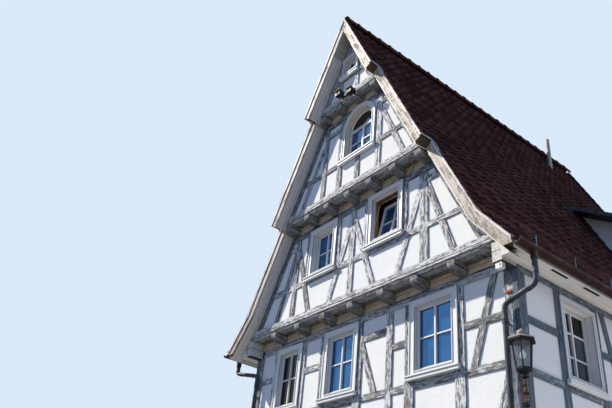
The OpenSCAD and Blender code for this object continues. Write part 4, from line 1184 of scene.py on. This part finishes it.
def gable_middle(wall):
    high = SILL[3] - JOIST_H
    rail_z = SILL[2] + 0.86
    f = Framing(wall, (-HALF_W, SILL[2] + SILL_H), (HALF_W, high), [ARCHED], True)
    f.beam(rail_z)
    f.rail(-1.75 * BAY, -0.68 * BAY, SILL[2] + 1.85)
    f.rail(1.76 * BAY, 3 * BAY, SILL[2] + 1.85)
    for s in (-1, 1):
        f.brace(s * 3.25 * BAY, SILL[2] + SILL_H - 0.06, s * 1.95 * BAY, SILL[2] + 1.6,
                BRACE - 0.015)
    f.post(-1.75 * BAY, POST - 0.02, SILL[2], high)
    f.post(-0.68 * BAY, POST, SILL[2], high)
    f.post(1.76 * BAY, POST, SILL[2], high)
    f.post(0.5 * BAY, POST - 0.02, SILL[2], rail_z)
    f.rafters()
    f.beam(high - PLATE / 2, PLATE, 4)
    return f


def gable_upper(wall):
    f = Framing(wall, (-HALF_W, SILL[3] + SILL_H), (HALF_W, RIDGE[1]), [PEAK], True)
    f.beam(SILL[3] + 0.72)
    f.beam(SILL[3] + 1.45)
    for s in (-1, 1):
        f.post(s * 0.55 * BAY, POST - 0.04, SILL[3], SILL[3] + 1.45)
    f.rafters()
    return f


def back_sills(wall):
    """The sill beams of the back gable, flush with its wall."""
    f = Framing(wall, (-HALF_W, SILL[1] - JOIST_H), (HALF_W, RIDGE[1]), [], True)
    for sill in SILL[1:]:
        f.beam(sill + (SILL_H - JOIST_H) / 2, JOIST_H + SILL_H, 4)
    return f


def make_timber_faces():
    walls = {"storey_front": [storey_front(FRONT_WALL[0])],
             "gable_lower": [gable_lower(FRONT_WALL[1])],
             "gable_middle": [gable_middle(FRONT_WALL[2])],
             "gable_upper": [gable_upper(FRONT_WALL[3])],
             "side_corners": [corner_strips(FRONT_WALL[0]), corner_strips(BACK_WALL)],
             "side_left": [storey_side(LEFT_WALL)],
             "side_right": [storey_side(RIGHT_WALL)],
             "back": [storey_front(BACK_WALL), gable_lower(BACK_WALL), gable_middle(BACK_WALL),
                      gable_upper(BACK_WALL), back_sills(BACK_WALL)]}
    pegs = Joined()
    for name, framings in walls.items():
        joined = Joined()
        for f in framings:
            f.add_to(joined)
            f.add_pegs_to(pegs)
        finish = TIMBER_SIDE if name.startswith("side") else TIMBER_FACES
        joined.make("timber_faces_" + name, finish, "timber")
    pegs.make("frame_pegs", TIMBER_FACES, "timber")


# ---------------------------------------------------------------- roof

TILE_RUN = 0.288
TILE_LAP = 0.062
TILE_COLUMNS = 38
TILE_THICK = 0.012
TILE_RISE = 0.026
ROLL_H = 0.021
ROOF_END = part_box("roof_right")[1].x


def slope_path(distance, height, depth=TILE_T):
    """A point of the slope: distance up from the eaves along the slab's top, and height over it."""
    x_bend = bend_x(depth)
    foot_run = (ROOF_END - x_bend) * FOOT_N
    if distance < foot_run:
        x, slope, slope_n = ROOF_END - distance / FOOT_N, FOOT, FOOT_N
    else:
        x, slope, slope_n = x_bend - (distance - foot_run) / STEEP_N, STEEP, STEEP_N
    z = roof_z(x, depth) if x > 0 else RIDGE[1] - STEEP * x - depth * STEEP_N
    return x + height * slope / slope_n, z + height / slope_n


def slope_length():
    x_bend = bend_x(TILE_T)
    return (ROOF_END - x_bend) * FOOT_N + x_bend * STEEP_N


def tile_courses(lap):
    """Where each course starts and ends along the slope."""
    total = slope_length()
    courses = round(total / TILE_RUN)
    run = (total - 0.02) / courses
    starts = [course * run - 0.015 for course in range(courses)]
    return [(s0, min(s0 + run + lap, total)) for s0 in starts]


def tile_profile(t):
    """Height of a pan tile across its width, from 0 to 1: a shallow pan and a roll."""
    if t > 0.68:
        return ROLL_H * math.sin(math.pi * (t - 0.68) / 0.32) ** 0.8
    return -0.004 * math.sin(math.pi * t / 0.68)


def tile(joined, side, s0, s1, y0, y1, tone, tilt):
    """One tile from s0 up to s1 along the slope, and from y0 to y1."""
    across = [0.0, 0.17, 0.34, 0.51, 0.68, 0.74, 0.80, 0.86, 0.93, 1.0]
    rows = [(s0, TILE_RISE), (s0 + 0.5 * (s1 - s0), TILE_RISE * 0.55), (s1, 0.003),
            (s0, TILE_RISE - TILE_THICK)]
    points = []
    for s, lift in rows:
        for t in across:
            x, z = slope_path(s, lift + tile_profile(t) + tilt * (t - 0.5))
            points.append((side * x, y0 + t * (y1 - y0), z))
    n = len(across)
    front = [[3 * n + k, 3 * n + k + 1, k + 1, k] for k in range(n - 1)]
    ends = [[3 * n, 0, n, 2 * n], [n - 1, 4 * n - 1, 3 * n - 1, 2 * n - 1]]
    joined.add(points, skin(3, n, ring=False) + front + ends, None, tone)


DORMER_LOW, DORMER_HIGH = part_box("dormer_walls")


def under_dormer(side, s, y):
    x = slope_path(s + 0.5 * TILE_RUN, 0)[0]
    return (side > 0 and DORMER_LOW.x - 0.02 < x < DORMER_HIGH.x - 0.1
            and DORMER_LOW.y + 0.06 < y < DORMER_HIGH.y - 0.06)


def make_tiles():
    front, back = VERGE[0] + BARGE_T, VERGE_BACK - BARGE_T
    width = (back - front) / TILE_COLUMNS
    for name, side in (("roof_tiles_left", -1), ("roof_tiles_right", 1)):
        joined = Joined()
        for s0, s1 in tile_courses(TILE_LAP):
            edges = [(front + k * width, front + (k + 1) * width) for k in range(TILE_COLUMNS)]
            x_here = slope_path(s0, 0)[0]
            if x_here < step_x(0, side):
                edges.insert(0, (VERGE[1] + BARGE_T, front))
            if x_here < step_x(1, side):
                edges.insert(0, (VERGE[2] + BARGE_T, VERGE[1] + BARGE_T))
            for y0, y1 in edges:
                if under_dormer(side, s0, (y0 + y1) / 2):
                    continue
                tile(joined, side, s0 + rng.uniform(-0.003, 0.003), s1, y0 + 0.0015, y1 - 0.0015,
                     rng.random(), rng.uniform(-0.004, 0.004))
        joined.make(name, CLAY, "tiles")


RIDGE_TILES = 26
RIDGE_THICK = 0.014


def make_ridge():
    """Half round ridge tiles, each lapping over the next."""
    cap_low, cap_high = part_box("ridge_cap")
    joined = Joined()
    pitch = (cap_high.y - cap_low.y) / RIDGE_TILES
    radius = (cap_high.x - cap_low.x) / 2
    centre = cap_high.z - radius
    angles = [math.radians(a) for a in range(-28, 209, 14)]
    for k in range(RIDGE_TILES):
        y0 = cap_low.y + k * pitch
        y1 = min(y0 + pitch + 0.03, cap_high.y)
        tone = rng.random()
        rows = [(y0, radius), (y0 + 0.05, radius), (y0 + 0.055, radius - 0.012),
                (y1, radius - 0.022)]
        rows += [(y, r - RIDGE_THICK) for y, r in reversed(rows)]
        points = [(r * math.cos(a), y, centre + r * math.sin(a)) for y, r in rows
                  for a in angles]
        joined.add(points, skin(len(rows), len(angles), ring=False, closed=True), None, tone)
    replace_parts(joined.make("ridge_tiles", CLAY, "tiles"), "ridge_cap")


SOFFIT_BOARD_T = 0.014


def slope_board(joined, side, xs, ys, tone, pitch):
    """A board under a roof slope, between two places across the house and two along it."""
    top, slope, slope_n = pitch
    shift = rng.random() * 30
    depths = (ROOF_T, ROOF_T + SOFFIT_BOARD_T)
    grain = [Vector((x * slope_n + shift, y + shift, d)) for x in xs for y in ys for d in depths]
    box_at(joined, lambda x, y, d: (side * (x - d * slope / slope_n), y,
                                    top - slope * x - d / slope_n), xs, ys, depths, grain, tone)


def make_verge_boards():
    """Boards under the overhanging verges, from the gable walls to the verge boards."""
    joined = Joined()
    top_x = 0.48
    for side in (-1, 1):
        low, high = step_x(0, side), step_x(1, side)
        foot_x = (KINK[0] - 0.02, EAVE[0])
        fronts = [(VERGE[k] + BARGE_T, FACE[k + 1] + 0.02) for k in range(3)]
        back = (BACK - 0.02, VERGE_BACK - BARGE_T)
        stages = [((low + 0.03, KINK[0] + 0.02), fronts[0], STEEP_PITCH),
                  ((high + 0.03, low), fronts[1], STEEP_PITCH),
                  ((top_x, high), fronts[2], STEEP_PITCH),
                  ((top_x, KINK[0] + 0.02), back, STEEP_PITCH),
                  (foot_x, fronts[0], FOOT_PITCH), (foot_x, back, FOOT_PITCH)]
        for xs, (y0, y1), pitch in stages:
            boards = 3 if y1 - y0 < 0.36 else 4
            wide = (y1 - y0) / boards
            for k in range(boards):
                ys = (y0 + k * wide + 0.002, y0 + (k + 1) * wide - 0.002)
                slope_board(joined, side, xs, ys, rng.random(), pitch)
    joined.make("verge_soffit_boards", BOARD_PAINT, "paint")


# ---------------------------------------------------------------- windows

def box_between(joined, wall, u0, u1, z0, z1, low, high):
    """A bar on a wall: from u0 to u1, z0 to z1, and from low to high in front of its face."""
    grain = [Vector((u + z, z - u, d)) for u in (u0, u1) for z in (z0, z1) for d in (low, high)]
    box_at(joined, wall.at, (u0, u1), (z0, z1), (low, high), grain)


ARCH_STEPS = 20


def frame_round(joined, wall, w, grow, profile):
    """A moulding round a window: the profile gives how far out and how far in front."""
    half = w["w"] / 2 + grow
    low, high = w["z"] - grow, w["z"] + w["h"] + grow
    path = [(w["x"] - half, low, -1, -1), (w["x"] + half, low, 1, -1)]
    if w["arch"]:
        for k in range(ARCH_STEPS + 1):
            a = math.pi * k / ARCH_STEPS
            path.append((w["x"] + half * math.cos(a), w["z"] + w["h"] + half * math.sin(a),
                         math.cos(a), math.sin(a)))
    else:
        path += [(w["x"] + half, high, 1, 1), (w["x"] - half, high, -1, 1)]
    points, grain = [], []
    for u, z, du, dz in path:
        for out, front in profile:
            points.append(wall.at(u + du * out, z + dz * out, front))
            grain.append(Vector((u + z, out * 3, front)))
    joined.add(points, skin(len(path), len(profile), closed=True), grain)


BAND_T = 0.025
GLASS_BAR = 0.022
SASH_LIP = 0.042
LINING_T = 0.003


def dress_window(mouldings, bars, wall, w, rows):
    """Mouldings on a surround, a bead along the top of its sill board, and thin bars on its panes.
    """
    front, sash = BAND_T, BAND_T - w["set"]
    frame_round(mouldings, wall, w, 0.0,
                [(0.0, front - 0.01), (0.0, front + 0.012), (0.012, front + 0.012),
                 (0.022, front + 0.002), (0.022, front - 0.01)])
    frame_round(mouldings, wall, w, w["band"] - 0.030,
                [(0.0, front - 0.01), (0.005, front + 0.013), (0.024, front + 0.013),
                 (0.030, front - 0.002), (0.030, front - 0.01)])
    wide, top = w["w"] / 2 + w["band"] + 0.034, w["z"] - 0.08
    box_between(mouldings, wall, w["x"] - wide, w["x"] + wide, top - 0.016, top + 0.003, 0.0,
                front + 0.071)
    frame_round(bars, wall, w, -0.001,
                [(0.0, 0.018), (0.0, 0.008), (-0.006, 0.008), (-0.006, 0.018)])
    frame_round(bars, wall, w, -SASH_LIP,
                [(-0.012, sash - 0.01), (-0.012, sash - 0.028), (0.006, sash + 0.006),
                 (0.012, sash + 0.006), (0.012, sash - 0.01)])
    half = w["w"] / 2 - 0.03
    for k in range(1, rows):
        z = w["z"] + w["h"] * k / rows
        box_between(bars, wall, w["x"] - half, w["x"] + half, z - GLASS_BAR / 2,
                    z + GLASS_BAR / 2, sash - 0.034, sash - 0.008)


class Leaning(Wall):
    """The open sash: a wall face that leans in about the sash's lower edge."""

    def __init__(self, wall, w, degrees):
        super().__init__(wall.origin, wall.run, wall.out)
        self.cos, self.sin = math.cos(math.radians(degrees)), math.sin(math.radians(degrees))
        self.z0, self.depth = w["z"] + 0.048 * self.sin, BAND_T - w["set"]

    def at(self, u, z, proud=0.0):
        up, out = z - self.z0, proud - self.depth
        return super().at(u, self.z0 + up * self.cos + out * self.sin,
                          self.depth + out * self.cos - up * self.sin)


def make_windows():
    mouldings, bars = Joined(), Joined()
    places = [(FRONT_WALL[0], FRONT_WINDOWS + GROUND_WINDOWS, 2),
              (FRONT_WALL[1], LOWER_WINDOWS[:1], 2), (FRONT_WALL[2], [ARCHED], 2),
              (FRONT_WALL[3], [PEAK], 1), (RIGHT_WALL, SIDE_WINDOWS + GROUND_SIDE, 3),
              (LEFT_WALL, SIDE_WINDOWS + GROUND_SIDE, 3),
              (BACK_WALL, FRONT_WINDOWS + LOWER_WINDOWS + GROUND_WINDOWS + [ARCHED], 2),
              (BACK_WALL, [PEAK], 1)]
    for wall, windows, rows in places:
        for w in windows:
            dress_window(mouldings, bars, wall, w, rows)
    open_window = LOWER_WINDOWS[1]
    spare = Joined()
    dress_window(mouldings, spare, FRONT_WALL[1], open_window, 2)
    dress_window(spare, bars, Leaning(FRONT_WALL[1], open_window, 12), open_window, 2)
    for name, wall, w, out, back, finish, slot in (
            ("open_window_lining", FRONT_WALL[1], open_window, -0.075, -0.165, INNER_WOOD,
             "timber"),
            ("arched_window_reveal", FRONT_WALL[2], ARCHED, 0.004, -0.102, REVEAL_PAINT,
             "paint")):
        lining = Joined()
        frame_round(lining, wall, w, 0.0,
                    [(0.0, out), (-LINING_T, out), (-LINING_T, back), (0.0, back)])
        lining.make(name, finish, slot)
    mouldings.make("window_mouldings", WINDOW_PAINT, "paint")
    bars.make("window_bars", WINDOW_PAINT, "paint")


# ---------------------------------------------------------------- roof edges

def make_verge_tiles():
    """Clay edges of the outer tiles, lying on the verge strips."""
    plates, edges = Joined(), Joined()
    for side in (-1, 1):
        for s0, s1 in tile_courses(0.03):
            x_here = slope_path(s0, 0)[0]
            stage = 2 if x_here < step_x(1, side) else 1 if x_here < step_x(0, side) else 0
            tone = rng.random()
            front, back = VERGE[stage], VERGE_BACK
            for into, y0, y1, grow in ((plates, front - 0.008, front + 0.10, 0.0),
                                       (edges, front - 0.016, front - 0.009, -0.001),
                                       (plates, back - 0.10, back - 0.008, 0.0),
                                       (edges, back - 0.009, back - 0.002, -0.001)):
                points = []
                for s, low, high in ((s0, 0.048, 0.061 + grow), (s1, 0.038, 0.048 + grow)):
                    for y in (y0, y1):
                        for x, z in (slope_path(s, low), slope_path(s, high)):
                            points.append((side * x, y, z))
                into.add(points, BOX_FACES, None, tone)
    plates.make("verge_tiles", CLAY, "tiles")
    edges.make("verge_tile_edges", EDGE_CLAY, "tiles")


def make_flashings():
    """Lead rolls where a verge steps back: across the step, then down the lower strip."""
    joined = Joined()
    for side in (-1, 1):
        for stage in (0, 1):
            x0, down = step_x(stage, side), 0.15
            z0 = RIDGE[1] - STEEP * x0 + 0.012
            path = rounded([(side * x0, VERGE[stage + 1], z0), (side * x0, VERGE[stage], z0),
                            (side * (x0 + down), VERGE[stage], z0 - STEEP * down)], 0.12)
            tube_on(joined, path, 0.014, 8)
    joined.make("verge_flashings", FLASHING, "zinc", smooth=True)


TIP_X = 3.8646
SOFFIT_Z = 6.05
SLOT_LONG, SLOT_WIDE, SLOT_PITCH = 0.42, 0.06, 0.83


def grille(joined, mesh, side, x, y0, length):
    """A framed wire grille in the eaves boards, with a black sheet behind its wires as painted
    shade in the slot.
    """
    x0, x1, y1 = x - SLOT_WIDE / 2, x + SLOT_WIDE / 2, y0 + length

    def lay(into, *spans):
        box_at(into, lambda u, v, d: (side * v, u, SOFFIT_Z - d), *spans)
    # Painted shade: a black sheet behind the wires.
    lay(mesh, (y0, y1), (x0, x1), (-0.012, -0.009))
    for y in (y0, y1):
        lay(joined, (y - 0.006, y + 0.006), (x0 - 0.006, x1 + 0.006), (-0.002, 0.003))
    for x in (x0, x1):
        lay(joined, (y0, y1), (x - 0.006, x + 0.006), (-0.002, 0.003))
    wires = int(length / 0.03)
    for k in range(1, wires):
        y = y0 + length * k / wires
        lay(mesh, (y - 0.002, y + 0.002), (x0, x1), (-0.009, -0.005))


def make_vents():
    frames, mesh = Joined(), Joined()
    slots = int((VERGE_BACK - BARGE_T - FRONT - 0.5) / SLOT_PITCH)
    for side in (-1, 1):
        for k in range(slots + 1):
            grille(frames, mesh, side, TIP_X - 0.10, FRONT + 0.48 + k * SLOT_PITCH, SLOT_LONG)
    frames.make("vent_frames", EAVES_PAINT, "paint")
    mesh.make("vent_mesh_and_shade_sheet", DARK_MESH, "iron")


# ---------------------------------------------------------------- jetties

def make_jetty_boards():
    """Tan boards that close the gaps between the joist ends."""
    joined = Joined()
    for wall, sill, reach in zip(FRONT_WALL, SILL[1:], (3.32, 2.10, 0.93)):
        for low, high, thick in ((JOIST_H - 0.004, 0.075, 0.014), (0.070, 0.004, 0.018)):
            box_between(joined, wall, -reach, reach, sill - low, sill - high, 0.0, thick)
    joined.make("jetty_boards", TAN_BOARDS, "timber")


# ---------------------------------------------------------------- metalwork

GUTTER_X, GUTTER_R, GUTTER_Z = 3.9616, 0.075, SOFFIT_Z + 0.025
PIPE_R, PIPE_X, PIPE_Y = 0.042, HALF_W - 0.20, FRONT - 0.093


def make_downpipes():
    """Pipes from the gutters round the corners and down the front, with sleeves and clamps."""
    joined = Joined()
    for side in (-1, 1):
        top = Vector((side * GUTTER_X, VERGE[0] + 0.36, SILL[1] - 0.44))
        bend = Vector((top.x, top.y, SILL[1] - (0.82 if side > 0 else 0.60)))
        turn = Vector((side * PIPE_X, PIPE_Y, SILL[1] - (0.91 if side > 0 else 0.74)))
        foot = Vector((side * PIPE_X, PIPE_Y, 0.12))
        tube_on(joined, rounded([top, bend, turn, foot], 0.12), PIPE_R, 18)
        for start, drop in ((top, 0.17 if side > 0 else 0.06), (turn, 0.20), (turn, 2.3),
                            (turn, 4.4)):
            turned(joined, start - UP * drop, [(-0.05, PIPE_R + 0.001), (-0.048, PIPE_R + 0.006),
                                               (-0.036, PIPE_R + 0.006), (-0.032, PIPE_R + 0.003),
                                               (0.048, PIPE_R + 0.003), (0.050, PIPE_R)], 18)
        along_run = (turn - bend).normalized()
        for at in (bend + along_run * 0.15, turn - along_run * 0.15):
            tube_on(joined, [at - along_run * 0.03, at + along_run * 0.03], PIPE_R + 0.004, 18)
        for z in (0.7, SILL[0] + 0.1, SILL[1] - 1.2):
            at = Vector((side * PIPE_X, PIPE_Y, z))
            turned(joined, at, [(-0.016, PIPE_R + 0.005), (0.016, PIPE_R + 0.005)], 18)
            tube_on(joined, [at + Vector((0, 0.03, 0)), Vector((at.x, FRONT, z))], 0.012, 10)
            for lug in (-1, 1):
                near = at + Vector((lug * (PIPE_R + 0.012), 0, 0))
                tube_on(joined, [near - Vector((0, 0.011, 0)), near + Vector((0, 0.011, 0))],
                        0.009, 8)
    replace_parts(joined.make("rain_pipes", ZINC, "zinc", smooth=True), "downpipes")


def make_gutter_straps():
    """Straps under the gutters, nailed to the eaves boards."""
    joined = Joined()
    radius = GUTTER_R + 0.001
    for side in (-1, 1):
        for k in range(9):
            y = FRONT + 0.30 + 0.88 * k
            path = [(side * (GUTTER_X + radius * math.cos(a)), y, GUTTER_Z + radius * math.sin(a))
                    for a in (math.radians(d) for d in range(-160, -28, 12))]
            for shift in (-0.009, 0.0, 0.009):
                tube_on(joined, [(x, v + shift, z) for x, v, z in path], 0.005, 6)
    joined.make("gutter_straps", COPPER, "copper", smooth=True)


def make_snow_guards():
    """Posts, a rail and thin upright bars along the foot of the roof."""
    posts, bars = Joined(), Joined()
    guard_x, guard_h = HALF_W + 0.04, 0.28
    foot = roof_z(guard_x, TILE_T)
    y0, y1, count = FRONT + 0.09, BACK - 0.09, 7
    for side in (-1, 1):
        x = side * guard_x
        for k in range(count):
            y = y0 + (k + 0.40) * (y1 - y0) / count
            tube_on(posts, [(x, y, foot - 0.01), (x, y, foot + guard_h - 0.004)], 0.013, 4)
            tube_on(posts, rounded([(x, y, foot + 0.21), (x - side * 0.16, y, foot + 0.26)], 0.1),
                    0.007, 6)
        for h in (0.06, guard_h - 0.012):
            tube_on(bars, [(x, y0, foot + h), (x, y1, foot + h)], 0.0075, 8)
        uprights = int((y1 - y0) / 0.06)
        for k in range(uprights):
            y = y0 + (k + 0.5) * (y1 - y0) / uprights
            tube_on(bars, [(x, y, foot + 0.06), (x, y, foot + guard_h - 0.012)], 0.003, 4)
    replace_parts(posts.make("snow_guard_posts", PALE_ZINC, "zinc"), "snow_guard")
    bars.make("snow_guard_rails", RUST_BROWN, "copper")


LAMP_AT = Vector((HALF_W + 0.16, FRONT - 0.25, SILL[1] - 2.0))


def by_lantern(x, y, z):
    """A place by the lantern, measured from the middle of its body's foot."""
    return LAMP_AT + Vector((x, y, z))


def six_corner(k, radius, z):
    """A corner of the six-sided body, where the glass has it."""
    a = math.radians(60 * k)
    return by_lantern(radius * math.cos(a), radius * math.sin(a), z)


def six(joined, profile):
    """A six-sided piece of the lantern: the profile gives each height and radius."""
    points = [six_corner(k, r, z) for z, r in profile for k in range(6)]
    joined.add(points, capped(len(profile), 6))


def scroll(joined, start, size, way, flip, turns=1.35, radius=0.0042):
    """A rolled-up end of a flat bar, in the plane of the front."""
    path = []
    for k in range(25):
        t = k / 24
        a = math.pi / 2 + way * 2 * math.pi * turns * t
        r = size * (1 - 0.78 * t)
        path.append(start + Vector((r * math.cos(a), 0, flip * (r * math.sin(a) - size))))
    tube_on(joined, path, radius, 6)


def make_lantern():
    """The corner lantern: six-sided body, domed cap, arms to the wall, and a scrolled bracket."""
    iron, cap, bronze = Joined(), Joined(), Joined()
    six(iron, [(-0.075, 0.045), (-0.040, 0.080), (-0.022, 0.118), (0.004, 0.120), (0.006, 0.100)])
    turned(iron, LAMP_AT, [(-0.125, 0.024), (-0.110, 0.045), (-0.085, 0.045), (-0.070, 0.060)], 16)
    for k in range(6):
        tube_on(iron, [six_corner(k, 0.110, 0.0), six_corner(k, 0.150, 0.392)], 0.009, 4)
    six(iron, [(0.366, 0.158), (0.370, 0.196), (0.396, 0.200), (0.400, 0.190)])
    six(cap, [(0.398, 0.196), (0.408, 0.199), (0.424, 0.180), (0.456, 0.096), (0.468, 0.076)])
    turned(cap, LAMP_AT, [(0.462, 0.066), (0.486, 0.063), (0.494, 0.068), (0.502, 0.066),
                          (0.524, 0.056), (0.540, 0.040), (0.550, 0.018), (0.556, 0.009),
                          (0.566, 0.012), (0.574, 0.006)], 16)
    turned(iron, LAMP_AT, [(0.26, 0.016), (0.40, 0.020)], 12)
    top, bottom, half = -0.125, -0.435, 0.062
    for x in (-half, half):
        tube_on(bronze, [by_lantern(x, 0, top), by_lantern(x, 0, bottom)], 0.009, 4)
    for z in (top, bottom):
        tube_on(iron, [by_lantern(-half - 0.01, 0, z), by_lantern(half + 0.01, 0, z)], 0.010, 6)
    tube_on(iron, [by_lantern(0, 0, bottom - 0.02), by_lantern(0, 0, top)], 0.007, 6)
    for x, y, z, size, flip in ((0.026, -0.004, -0.145, 0.034, 1),
                                (0.026, -0.004, -0.415, 0.034, -1),
                                (0.022, -0.006, -0.250, 0.030, 1)):
        for way in (-1, 1):
            scroll(bronze, by_lantern(x * way, y, z), size, way, flip)
    turned(bronze, by_lantern(0, -0.004, -0.28),
           [(-0.03, 0.004), (-0.012, 0.013), (0.0, 0.016), (0.012, 0.013), (0.03, 0.004)], 10)
    wall_corner = Vector((HALF_W, FRONT, LAMP_AT.z))
    for start, end in ((-0.40, -0.40), (-0.11, -0.25)):
        at = wall_corner + UP * end
        tube_on(iron, [by_lantern(0, 0, start), at], 0.014, 10)
    for z in (-0.40, -0.25):
        at = wall_corner + UP * z
        tube_on(iron, [at + Vector((0.012, -0.020, 0)), at], 0.030, 10)
    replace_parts(iron.make("corner_lantern", IRON, "iron", smooth=True), "lantern")
    cap.make("lantern_cap", CAP_METAL, "iron", smooth=True)
    bronze.make("lantern_scrolls", BRONZE, "copper", smooth=True)
    bulb = Joined()
    turned(bulb, LAMP_AT, [(0.135, 0.006), (0.142, 0.022), (0.160, 0.037), (0.185, 0.043),
                           (0.210, 0.037), (0.235, 0.022), (0.262, 0.016)], 16)
    bulb.make("lantern_bulb", FROSTED, "glass", smooth=True)


def raised_block(joined, wall, u0, u1, z0, z1, proud, bevel, tone):
    """A block with bevelled edges, standing a little in front of a wall."""
    rings = [(0.0, -0.004), (0.0, proud - bevel), (bevel, proud)]
    points = [wall.at(u, z, d) for inset, d in rings
              for u, z in ((u0 + inset, z0 + inset), (u1 - inset, z0 + inset),
                           (u1 - inset, z1 - inset), (u0 + inset, z1 - inset))]
    joined.add(points, [[3, 2, 1, 0], [8, 9, 10, 11]] + skin(3, 4), None, tone)


def make_corner_fittings():
    """A small white lamp under the beam end, and a rusty bracket at the head of the post."""
    white, dark, rust = Joined(), Joined(), Joined()
    face, wall = gable_wall(FACE[1] - 0.02), FRONT_WALL[0]
    x, z = 3.415, SILL[1] - 0.33
    raised_block(white, face, x - 0.06, x + 0.06, z - 0.115, z - 0.015, 0.0, 0.002, 0.5)
    box_between(white, face, x - 0.055, x + 0.055, z - 0.110, z - 0.020, -0.085, -0.003)
    box_between(white, face, x - 0.02, x + 0.02, z - 0.020, z + 0.001, -0.060, -0.020)
    turned(dark, face.at(x + 0.025, z - 0.062, -0.004), [(-0.014, 0.010), (0.014, 0.010)], 10)
    white.make("corner_lamp", WINDOW_PAINT, "paint")
    dark.make("corner_lamp_lens", IRON, "iron", smooth=True)
    x, z = 3.337, 5.628
    box_between(rust, wall, x - 0.037, x + 0.038, z - 0.028, z + 0.027, 0.0, 0.022)
    box_between(rust, wall, x - 0.052, x + 0.053, z - 0.010, z + 0.008, 0.0, 0.030)
    tube_on(rust, rounded([wall.at(x, z, 0.0), wall.at(x, z, 0.075),
                           wall.at(x, z + 0.062, 0.075)], 0.02), 0.007, 8)
    rust.make("post_bracket", RUSTY, "iron", smooth=True)


# ---------------------------------------------------------------- ground floor

STEP_HALF = 0.78
DOOR_HALF, DOOR_SET, DOOR_Z = 0.5, 0.11, 0.18


def make_plinth_stones():
    """Two courses of dressed stones round the foot of the walls."""
    low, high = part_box("plinth")
    out = high.x - HALF_W
    rows = [(0.006, high.z / 2 - 0.004), (high.z / 2 + 0.004, high.z - 0.004)]
    joined = Joined()
    for wall, half in ((gable_wall(FRONT - out), HALF_W + out),
                       (gable_wall(BACK + out, 1), HALF_W + out),
                       (side_wall(HALF_W + out), BACK + out),
                       (side_wall(-HALF_W - out), BACK + out)):
        for z0, z1 in rows:
            u = -half
            while u < half - 0.05:
                end = min(u + rng.uniform(0.42, 0.78), half)
                end = half if half - end < 0.25 else end
                if not (wall.out.y < 0 and end > DOOR_X - STEP_HALF and u < DOOR_X + STEP_HALF):
                    raised_block(joined, wall, u + 0.004, end - 0.004, z0, z1, 0.012, 0.006,
                                 rng.random())
                u = end
    joined.make("plinth_stones", STONE, "stone")


def make_door_fittings():
    """A lever handle on its plate, three hinges, and a stone sill."""
    fittings, sill = Joined(), Joined()
    wall = gable_wall(FRONT + DOOR_SET)
    x, z = DOOR_X + DOOR_HALF - 0.07, DOOR_Z + 1.08
    box_between(fittings, wall, x - 0.019, x + 0.019, DOOR_Z + 0.93, DOOR_Z + 1.15, 0.0, 0.006)
    tube_on(fittings, rounded([wall.at(x, z, 0.0), wall.at(x, z, 0.05),
                               wall.at(x - 0.12, z, 0.05)], 0.012), 0.008, 10)
    x = DOOR_X - DOOR_HALF + 0.006
    for z in (DOOR_Z + 0.25, DOOR_Z + 1.05, DOOR_Z + 1.85):
        tube_on(fittings, [wall.at(x, z - 0.05, 0.008), wall.at(x, z + 0.05, 0.008)], 0.009, 10)
    fittings.make("door_fittings", IRON, "iron", smooth=True)
    box_between(sill, wall, DOOR_X - DOOR_HALF, DOOR_X + DOOR_HALF, DOOR_Z, DOOR_Z + 0.015, 0.0,
                DOOR_SET - 0.002)
    sill.make("door_sill", STONE, "stone")


# ---------------------------------------------------------------- floor

def make_floor():
    """A wide disc, a little under the ground line."""
    rings, spokes, radius, z = 6, 48, 70.0, -0.002
    points = [(0, 0, z)]
    for r in range(1, rings + 1):
        for k in range(spokes):
            a, out = 2 * math.pi * k / spokes, radius * r / rings
            points.append((out * math.cos(a), out * math.sin(a), z))
    faces = [[0, 1 + k, 1 + (k + 1) % spokes] for k in range(spokes)]
    faces += [[1 + k for k in reversed(face)] for face in skin(rings, spokes)]
    mesh = bpy.data.meshes.new("floor")
    mesh.from_pydata(points, [], faces)
    mesh.materials.append(stage_finish())
    put(bpy.data.objects.new("floor", mesh))


make_floor()
make_timber_faces()
make_tiles()
make_ridge()
make_verge_boards()
make_verge_tiles()
make_flashings()
make_vents()
make_jetty_boards()
make_windows()
make_downpipes()
make_gutter_straps()
make_snow_guards()
make_lantern()
make_corner_fittings()
make_plinth_stones()
make_door_fittings()

bpy.context.scene.view_settings.view_transform = "Standard"
